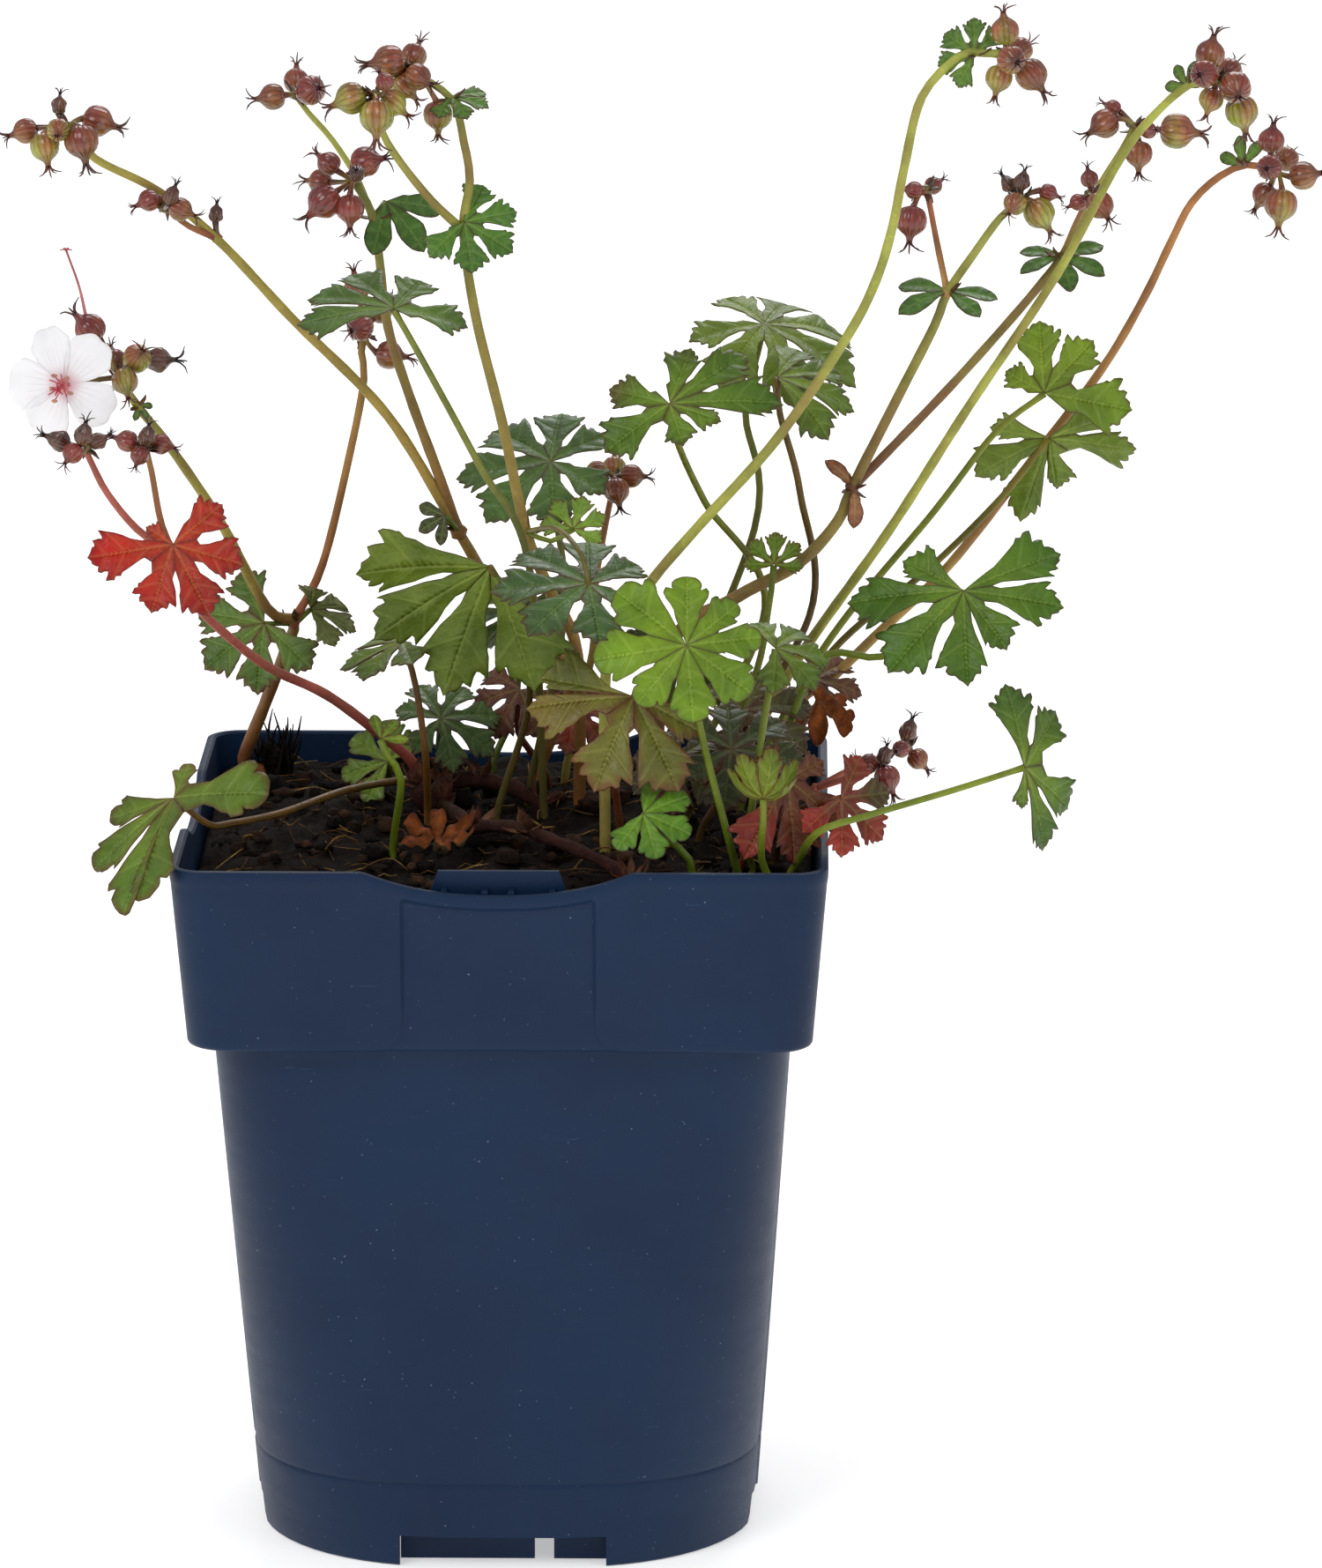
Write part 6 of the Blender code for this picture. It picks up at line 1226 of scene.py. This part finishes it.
def make_flower(petals, middle, stalk):
    centre, facing, upward, side, reach = flower_frame()
    for k, (turn, far, half) in enumerate(PETALS):
        way = spoke(math.radians(turn), upward, side)
        petal(petals, centre + facing * 0.05 * MM * (k % 2), facing, way, reach * far, reach * half, k)
    pick = random.Random(FLOWER_SEED)
    front = centre + facing * 0.3 * MM
    lump(middle, front + facing * 0.4 * MM, 1.0 * MM, paint("D8949A"), 3, 0.1)
    end = front + facing * 4.4 * MM + np.array([0, 0, -0.5 * MM])
    tube(middle, [front, front + facing * 2.2 * MM, end],
         [0.45 * MM, 0.32 * MM, 0.25 * MM], paint("C0506A"), 8, 0.6 * MM, tip_tint=paint("A83A58"))
    for k in range(5):
        turn = 2 * math.pi * k / 5 + 0.3
        out = spoke(turn, upward, side)
        lobe_end = end + facing * 0.4 * MM + out * 1.1 * MM
        tube(middle, [end, end + facing * 0.5 * MM + out * 0.5 * MM, lobe_end],
             [0.2 * MM, 0.18 * MM, 0.1 * MM], paint("B03A5C"), 6, 0.4 * MM)
    for k in range(10):
        turn = 2 * math.pi * k / 10 + pick.uniform(-0.2, 0.2)
        out = spoke(turn, upward, side)
        reach_out = pick.uniform(1.4, 2.6) * MM
        tip = front + facing * pick.uniform(2.4, 3.8) * MM + out * reach_out
        tube(middle, [front + facing * 0.4 * MM, front + facing * 1.6 * MM + out * reach_out * 0.45, tip],
             [0.17 * MM, 0.14 * MM, 0.12 * MM], paint("E2A0B0"), 6, 0.6 * MM, tip_tint=paint("C8607C"))
        if k % 2:
            lump(middle, tip, 0.5 * MM, paint("B98A86"), k, 0.2, (1.0, 0.7, 0.7), 5, 8)
    back = centre - facing * (PETAL_THICKNESS + PART_GAP)
    for k in range(5):
        turn = math.radians(72.0 * k - 108.0)
        way = spoke(turn, upward, side)
        bract(stalk, back + facing * 0.3 * MM, way - facing * 0.4, facing, 4.6 * MM, 2.6 * MM,
              paint("7E9448"), paint("9A5A44"), 0.15)
    hub = HUBS["head_flower"]
    bend = back - facing * 4.5 * MM
    points = [back + facing * 0.2 * MM, back - facing * 1.4 * MM, bend,
              (bend + hub) / 2 - facing * 1.0 * MM, hub]
    tube(stalk, points, [1.3 * MM, 0.8 * MM, 0.5 * MM, 0.5 * MM, 0.5 * MM], paint("7E9448"), 8, 0.8 * MM,
         tip_tint=paint("8A5A40"))


def long_style(shape):
    """The long thin style that a petal-less flower holds up beside the white one."""
    foot = spot((99, 366, -8))
    tip = spot((75, 284, -6))
    middle = (foot + tip) / 2 + np.array([0.4 * MM, 0, 0])
    tube(shape, [foot, middle, tip], [0.34 * MM, 0.24 * MM, 0.2 * MM], paint("D98A96"), 8, 1.2 * MM,
         tip_tint=paint("C65A6E"))
    for turn in (-1.1, -0.4, 0.4, 1.1):
        out = np.array([math.sin(turn), 0.25 * math.cos(turn * 2), 0.75 * math.cos(turn)])
        end = tip + out * 0.9 * MM + np.array([math.sin(turn) * 0.3, 0, -0.3]) * MM
        tube(shape, [tip, tip + out * 0.5 * MM, end],
             [0.18 * MM, 0.15 * MM, 0.1 * MM], paint("C65A6E"), 6, 0.4 * MM)


# Materials
def fresh_material(name, roughness, shine=0.35):
    made = bpy.data.materials.new(name)
    made.use_nodes = True
    tree = made.node_tree
    shader = tree.nodes["Principled BSDF"]
    shader.inputs["Roughness"].default_value = roughness
    shader.inputs["Specular IOR Level"].default_value = shine
    return made, tree, shader


def add(tree, kind, settings=None, values=None):
    made = tree.nodes.new(kind)
    for key, value in (settings or {}).items():
        setattr(made, key, value)
    for key, value in (values or {}).items():
        made.inputs[key].default_value = value
    return made


def ramp(tree, source, low, high, to_low=0.0, to_high=1.0):
    """A value eased from one range to another."""
    made = add(tree, "ShaderNodeMapRange", {"interpolation_type": "SMOOTHSTEP"})
    for key, value in (("From Min", low), ("From Max", high), ("To Min", to_low), ("To Max", to_high)):
        made.inputs[key].default_value = value
    tree.links.new(source, made.inputs["Value"])
    return made.outputs["Result"]


def sums(tree, operation, first, second):
    made = add(tree, "ShaderNodeMath", {"operation": operation})
    for key, value in ((0, first), (1, second)):
        if isinstance(value, (int, float)):
            made.inputs[key].default_value = value
        else:
            tree.links.new(value, made.inputs[key])
    return made.outputs[0]


def mixed(tree, share, first, second, kind="MIX"):
    """Two colours mixed; a colour may be a socket or three numbers."""
    made = add(tree, "ShaderNodeMix", {"data_type": "RGBA", "blend_type": kind})
    for key, value in ((0, share), (6, first), (7, second)):
        if isinstance(value, (int, float)):
            made.inputs[key].default_value = value
        elif isinstance(value, (tuple, list, np.ndarray)):
            made.inputs[key].default_value = (float(value[0]), float(value[1]), float(value[2]), 1.0)
        else:
            tree.links.new(value, made.inputs[key])
    return made.outputs[2]


def noise(tree, scale, detail=3.0, rough=0.55, stretch=None):
    """Noise in the piece's own place, in metres."""
    made = add(tree, "ShaderNodeTexNoise", None, {"Scale": scale, "Detail": detail, "Roughness": rough})
    place = add(tree, "ShaderNodeTexCoord").outputs["Object"]
    if stretch:
        turned_place = add(tree, "ShaderNodeMapping")
        turned_place.inputs["Scale"].default_value = stretch
        tree.links.new(place, turned_place.inputs["Vector"])
        place = turned_place.outputs["Vector"]
    tree.links.new(place, made.inputs["Vector"])
    return made.outputs["Fac"]


def cell_edges(tree, scale):
    made = add(tree, "ShaderNodeTexVoronoi", {"feature": "DISTANCE_TO_EDGE"}, {"Scale": scale})
    tree.links.new(add(tree, "ShaderNodeTexCoord").outputs["Object"], made.inputs["Vector"])
    return made.outputs["Distance"]


def bump(tree, shader, height, strength, distance):
    made = add(tree, "ShaderNodeBump", None, {"Strength": strength, "Distance": distance})
    tree.links.new(height, made.inputs["Height"])
    tree.links.new(made.outputs["Normal"], shader.inputs["Normal"])


def tint_and_marks(tree):
    tint = add(tree, "ShaderNodeAttribute", {"attribute_name": "tint"}).outputs["Color"]
    marks = add(tree, "ShaderNodeAttribute", {"attribute_name": "marks"}).outputs["Vector"]
    apart = add(tree, "ShaderNodeSeparateXYZ")
    tree.links.new(marks, apart.inputs[0])
    return tint, apart.outputs


def shaded(tree, tint, source, low, high, edge=0.3):
    """The tint, lightened and darkened by a noise."""
    return mixed(tree, 1.0, tint, mixed(tree, ramp(tree, source, edge, 1.0 - edge), low, high), "MULTIPLY")


def changed(tree, share, colour, times):
    """The colour, times three numbers where the share is high."""
    return mixed(tree, share, colour, mixed(tree, 1.0, colour, times, "MULTIPLY"))


def finished(made, tree, shader, colour, relief, gloss=None):
    """Wire up the colour, the relief (height, strength, distance) and the roughness (source, low, high)."""
    tree.links.new(colour, shader.inputs["Base Color"])
    bump(tree, shader, *relief)
    if gloss:
        tree.links.new(ramp(tree, gloss[0], 0.3, 0.7, gloss[1], gloss[2]), shader.inputs["Roughness"])
    return made


def leaf_material(name, vein_light, roughness, blotch, low=(0.36, 0.40, 0.08), high=(0.62, 0.64, 0.18)):
    made, tree, shader = fresh_material(name, roughness)
    tint, (off_rib, off_vein, off_edge) = tint_and_marks(tree)
    rib = ramp(tree, off_rib, 0.10, 0.48, 1.0, 0.0)
    vein = ramp(tree, off_vein, 0.06, 0.50, 0.6, 0.0)
    net = ramp(tree, cell_edges(tree, 620.0), 0.02, 0.14, 0.18, 0.0)
    lines = sums(tree, "MAXIMUM", sums(tree, "MAXIMUM", rib, vein), net)
    fine = noise(tree, 900.0, 3.0)
    colour = shaded(tree, tint, noise(tree, 95.0, 4.0), low, high, 0.32)
    colour = changed(tree, ramp(tree, fine, 0.35, 0.7, 0.0, 0.35), colour, (0.72, 0.78, 0.70))
    spots = ramp(tree, noise(tree, 240.0, 2.0), blotch, blotch + 0.07, 0.0, 0.55)
    colour = mixed(tree, spots, colour, (0.10, 0.045, 0.022))
    light = mixed(tree, 1.0, colour, (1.45 + vein_light, 1.42 + vein_light, 1.35), "MULTIPLY")
    light = mixed(tree, 0.22, light, (0.34, 0.38, 0.14))
    colour = mixed(tree, sums(tree, "MULTIPLY", lines, 0.6), colour, light)
    margin = ramp(tree, off_edge, 0.05, 0.26, 0.62, 0.0)
    colour = mixed(tree, margin, colour, (0.075, 0.028, 0.016))
    height = sums(tree, "ADD", sums(tree, "MULTIPLY", lines, -0.8), sums(tree, "MULTIPLY", fine, 0.6))
    return finished(made, tree, shader, colour, (height, 0.55, 0.0003),
                    (fine, roughness - 0.08, roughness + 0.12))


def stem_material(name):
    made, tree, shader = fresh_material(name, 0.5)
    tint = tint_and_marks(tree)[0]
    streak = noise(tree, 1400.0, 2.0)
    colour = shaded(tree, tint, noise(tree, 120.0, 3.0), (0.74, 0.64, 0.48), (1.24, 1.10, 0.86))
    flush = ramp(tree, noise(tree, 45.0, 2.0), 0.48, 0.66, 0.0, 0.45)
    colour = mixed(tree, flush, colour, (0.21, 0.075, 0.04))
    colour = changed(tree, ramp(tree, streak, 0.55, 0.75, 0.0, 0.4), colour, (1.6, 1.6, 1.5))
    return finished(made, tree, shader, colour, (streak, 0.5, 0.00025), (streak, 0.42, 0.62))


def fruit_material(name):
    made, tree, shader = fresh_material(name, 0.30, 0.6)
    tint, (line, *_) = tint_and_marks(tree)
    grain = noise(tree, 1500.0, 2.0)
    colour = shaded(tree, tint, noise(tree, 260.0, 3.0), (0.60, 0.60, 0.52), (1.05, 1.05, 0.85))
    colour = changed(tree, ramp(tree, line, 0.35, 0.95, 0.0, 0.50), colour, (0.30, 0.20, 0.22))
    height = sums(tree, "ADD", line, sums(tree, "MULTIPLY", grain, 0.35))
    return finished(made, tree, shader, colour, (height, 0.4, 0.0003), (grain, 0.12, 0.26))


def petal_material(name):
    made, tree, shader = fresh_material(name, 0.45)
    tint, (across, along, _) = tint_and_marks(tree)
    vein = sums(tree, "MULTIPLY", ramp(tree, across, 0.04, 0.30, 1.0, 0.0),
                ramp(tree, along, 0.20, 0.80, 0.30, 0.02))
    grain = noise(tree, 700.0, 3.0)
    colour = mixed(tree, vein, tint, (0.66, 0.46, 0.52))
    colour = mixed(tree, ramp(tree, grain, 0.35, 0.7, 0.0, 0.10), colour, (0.72, 0.68, 0.76))
    shader.inputs["Subsurface Weight"].default_value = 0.25
    shader.inputs["Subsurface Radius"].default_value = (0.002, 0.0015, 0.0015)
    height = sums(tree, "ADD", vein, sums(tree, "MULTIPLY", grain, 0.3))
    return finished(made, tree, shader, colour, (height, 0.35, 0.0002))


def rough_material(name, low, high, scale, roughness, strength, distance):
    """Dry, uneven matter: soil, old leaves and bark."""
    made, tree, shader = fresh_material(name, roughness, 0.15)
    broad = noise(tree, scale, 5.0, 0.65)
    fine = noise(tree, scale * 6.0, 4.0, 0.7)
    colour = shaded(tree, tint_and_marks(tree)[0], broad, low, high)
    colour = changed(tree, ramp(tree, fine, 0.45, 0.75, 0.0, 0.5), colour, (1.9, 1.8, 1.7))
    return finished(made, tree, shader, colour, (sums(tree, "ADD", broad, fine), strength, distance),
                    (fine, roughness - 0.12, min(1.0, roughness + 0.05)))


def pot_material():
    made, tree, shader = fresh_material("pot_plastic", 0.46, 0.24)
    drag = noise(tree, 210.0, 4.0, 0.7, (0.35, 0.35, 1.6))
    scratch = noise(tree, 900.0, 2.0, 0.8, (0.12, 0.12, 1.0))
    colour = mixed(tree, ramp(tree, noise(tree, 26.0, 5.0, 0.6), 0.3, 0.7), paint("051F3E"), paint("062545"))
    for share, code in ((ramp(tree, drag, 0.62, 0.74, 0.0, 0.06), "1E3A62"),
                        (ramp(tree, scratch, 0.70, 0.76, 0.0, 0.14), "3A5480"),
                        (ramp(tree, noise(tree, 1700.0, 1.0), 0.76, 0.82, 0.0, 0.5), "8E98A6")):
        colour = mixed(tree, share, colour, paint(code))
    return finished(made, tree, shader, colour, (noise(tree, 2600.0, 2.0), 0.2, 0.00012), (drag, 0.45, 0.51))


FINISH = {
    "leaf_light": leaf_material("leaf_light", 0.10, 0.42, 0.86, (0.30, 0.38, 0.05), (0.54, 0.62, 0.14)),
    "leaf_mid": leaf_material("leaf_mid", 0.05, 0.40, 0.84),
    "leaf_dark": leaf_material("leaf_dark", 0.10, 0.38, 0.80, (0.42, 0.46, 0.24), (0.74, 0.76, 0.44)),
    "leaf_red": leaf_material("leaf_red", 0.00, 0.40, 0.80, (0.50, 0.38, 0.22), (0.80, 0.56, 0.36)),
    "stem_green": stem_material("stem_green"),
    "stem_red": stem_material("stem_red"),
    "seed_head": fruit_material("seed_head"),
    "petal": petal_material("petal"),
    "flower_middle": stem_material("flower_middle"),
    "soil": rough_material("soil", (0.25, 0.25, 0.25), (1.3, 1.2, 1.1), 420.0, 0.95, 0.9, 0.0006),
    "rootstock": rough_material("rootstock", (0.6, 0.55, 0.5), (1.4, 1.3, 1.2), 380.0, 0.8, 0.8, 0.0006),
    "dry_leaf": rough_material("dry_leaf", (0.6, 0.5, 0.45), (1.5, 1.3, 1.1), 300.0, 0.75, 0.8, 0.0005),
}
STEM_ROWS, SPRAY_LEAF_ROWS, HEAD_ROWS = rows(STEMS), rows(SPRAY_LEAVES), rows(HEADS)
# A bud at a node of a spray: its row as a fruit, and the place where its stalk starts
BUD_SPRAY, BUD, BUD_FOOT = "spray_far_left", "dark 245 242 -4 2.9 0.1 0 1", (247, 268, -4)
SPRAY_NAMES = list(dict.fromkeys(row[0].split()[0] for row in STEM_ROWS))
HUBS = {row[0].split()[0]: spot([float(word) for word in row[0].split()[2:]]) for row in HEAD_ROWS}

# The sprays: stems, leaves and fused heads are one piece each
for number, spray_name in enumerate(SPRAY_NAMES):
    stems_shape, heads_shape, leaves_shape = Shape(), Shape(), Shape()
    for about, route in STEM_ROWS:
        owner, stem_name, foot, tip, low, high = about.split()
        if owner != spray_name:
            continue
        points = route_points(route)
        radii = stem_radii(len(points), float(foot) * MM, float(tip) * MM)
        tube(stems_shape, points, radii, paint(low), 12, 2.2 * MM, tip_tint=paint(high), swell=0.22,
             wobble=0.04, seed=number)
        if stem_name != "main" and len(stops_of(route)[0]) == 3:
            lump(stems_shape, points[0], 1.35 * float(foot) * MM, paint(low), number + 40, 0.12)
    spray_leaves = [row[1:] for row in SPRAY_LEAF_ROWS if row[0] == spray_name]
    for leaf_number, row in enumerate(spray_leaves):
        leaf(leaves_shape, row, SPRAY_LEAF_SEED + number * 17 + leaf_number, SPRAY_SINUS)
        joint = spot(stops_of(row[3])[0])
        pick = random.Random(number * 31 + leaf_number)
        for _ in range(SCALES_AT_NODE):
            way = unit((pick.uniform(-1, 1), pick.uniform(-1, 0.4), pick.uniform(-0.6, 0.8)))
            bract(leaves_shape, joint + way * 0.6 * MM, way, np.array([0.0, -0.3, 1.0]), 2.6 * MM, 1.3 * MM,
                  paint("8A5A44"), paint("5E3428"), 0.3)
    if spray_name == BUD_SPRAY:
        fruit(heads_shape, *fruit_row(BUD), spot(BUD_FOOT), BUD_SEED)
    for about, *fruits in HEAD_ROWS:
        if about.split()[1] == spray_name:
            seed_head(heads_shape, about.split()[0], fruits)
    stem_slot = "stem_red" if spray_name in ("spray_red_left", "spray_low_right") else "stem_green"
    for shape, ending, slot in ((stems_shape, "_stems", stem_slot), (leaves_shape, "_leaves", "leaf_dark"),
                                (heads_shape, "_heads", "seed_head")):
        if shape.size:
            shape.make(spray_name + ending, [spray_name], slot)

# The seed heads that stand as nodes of their own, and the flower
flower_stalk = Shape()
petals, flower_middle = Shape(), Shape()
make_flower(petals, flower_middle, flower_stalk)
for about, *fruits in HEAD_ROWS:
    head_name, owner = about.split()[:2]
    if owner != "alone":
        continue
    shape = flower_stalk if head_name == "head_flower" else Shape()
    seed_head(shape, head_name, fruits)
    if head_name == "head_flower":
        long_style(shape)
    shape.make(head_name + "_detail", [head_name], "seed_head")
petals.make("flower_petals_detail", ["flower_petals"], "petal")
flower_middle.make("flower_middle_detail", ["flower_middle"], "flower_middle")

# The basal leaves
for number, (about, *row) in enumerate(rows(LEAVES)):
    leaf_name, slot, sinus, *rounded = about.split()
    shape = Shape()
    leaf(shape, row, LEAF_SEED + number * 13, float(sinus), bool(rounded))
    shape.make(leaf_name + "_detail", [leaf_name], slot)

# Rootstock, old leaves and soil
stock = Shape()
pick = random.Random(STOCK_SEED)
for number, (ends, route, last) in enumerate(rows(ROOTSTOCK)):
    foot, tip = numbers(ends)
    points = route_points(route)
    if last:
        points += rooted(*numbers(last))[::-1]
    tube(stock, points, stem_radii(len(points), foot * MM, tip * MM), paint("38271E"), 14, 1.4 * MM,
         tip_tint=paint("3E2220"), wobble=0.22, seed=number)
    for stop in points[1:]:
        for _ in range(SCALES_ON_STOCK):
            way = unit((pick.uniform(-1, 1), pick.uniform(-1, 1), pick.uniform(-0.1, 1)))
            bract(stock, stop + way * 1.0 * MM, way, np.array([0.0, 0.0, 1.0]), pick.uniform(2.5, 4.6) * MM,
                  pick.uniform(1.3, 2.2) * MM, paint(pick.choice(("7A5040", "663C34", "8A6450", "5A3E2C"))),
                  paint("4E3024"), 0.4)
stock.make("rootstock_detail", ["rootstock"], "rootstock")

crown = Shape()
for number, (_, *row) in enumerate(rows(CROWN_LEAVES)):
    leaf(crown, row, CROWN_SEED + number * 11, CROWN_SINUS)
crown.make("crown_leaves", [], "leaf_red")

for litter_name in ("litter_left", "litter_right"):
    shape = Shape()
    for number, row in enumerate([row[1:] for row in rows(LITTER) if row[0] == litter_name]):
        leaf(shape, row + [DRY_LOOKS], LITTER_SEED + number, LITTER_SINUS)
    for points in shape.points:
        points[:, 2] += 0.9 * MM * np.sin(points[:, 0] * 1500) * np.cos(points[:, 1] * 1300)
    shape.make(litter_name + "_detail", [litter_name], "dry_leaf")

ground = Shape()
make_soil(ground)
ground.make("soil_surface", ["soil"], "soil")
loose = Shape()
pick = random.Random(LOOSE_SEED)
scatter_crumbs(loose, pick)
scatter_fibres(loose, pick)
dark_tuft(loose, pick)
loose.make("soil_crumbs", ["soil"], "soil")
make_pot(pot_material())

# Floor, light and camera
floor_mesh = bpy.data.meshes.new("floor")
floor_mesh.from_pydata([(-6, -4, 0), (6, -4, 0), (6, 8, 0), (-6, 8, 0)], [], [(0, 1, 2, 3)])
floor = placed("floor", floor_mesh)
floor_finish, _, floor_shader = fresh_material("floor", 0.7)
floor_shader.inputs["Base Color"].default_value = (0.93, 0.93, 0.93, 1.0)
floor_shader.inputs["Emission Color"].default_value = (1.0, 1.0, 1.0, 1.0)
floor_shader.inputs["Emission Strength"].default_value = 0.45
floor_mesh.materials.append(floor_finish)

world = bpy.data.worlds.new("studio")
bpy.context.scene.world = world
world.use_nodes = True
world.node_tree.nodes["Background"].inputs[0].default_value = (1.0, 1.0, 1.0, 1.0)
world.node_tree.nodes["Background"].inputs[1].default_value = 0.52
bpy.context.scene.view_settings.view_transform = "Standard"
bpy.context.scene.view_settings.look = "None"


def lamp(name, place, target, size, power):
    light = bpy.data.lights.new(name, "AREA")
    light.shape = "SQUARE"
    light.size = size
    light.energy = power
    made = placed(name, light)
    made.location = place
    made.rotation_euler = (Vector(target) - Vector(place)).to_track_quat("-Z", "Y").to_euler()


lamp("key", (-0.9, -1.3, 1.5), (0, 0, 0.13), 1.0, 12.0)
lamp("fill", (1.3, -1.1, 0.9), (0, 0, 0.13), 1.0, 4.0)
lamp("back", (0.2, 1.4, 1.3), (0, 0, 0.16), 1.0, 9.0)

lens = bpy.data.cameras.new("camera")
lens.sensor_fit = "AUTO"
lens.sensor_width = SENSOR_MM
lens.lens = FOCAL_PX * SENSOR_MM / PHOTO_LONG_SIDE_PX
lens.clip_start = 0.05
lens.clip_end = 50.0
camera = placed("camera", lens)
camera.location = EYE
camera.rotation_euler = (math.pi / 2 - PITCH, 0.0, YAW)
bpy.context.scene.camera = camera
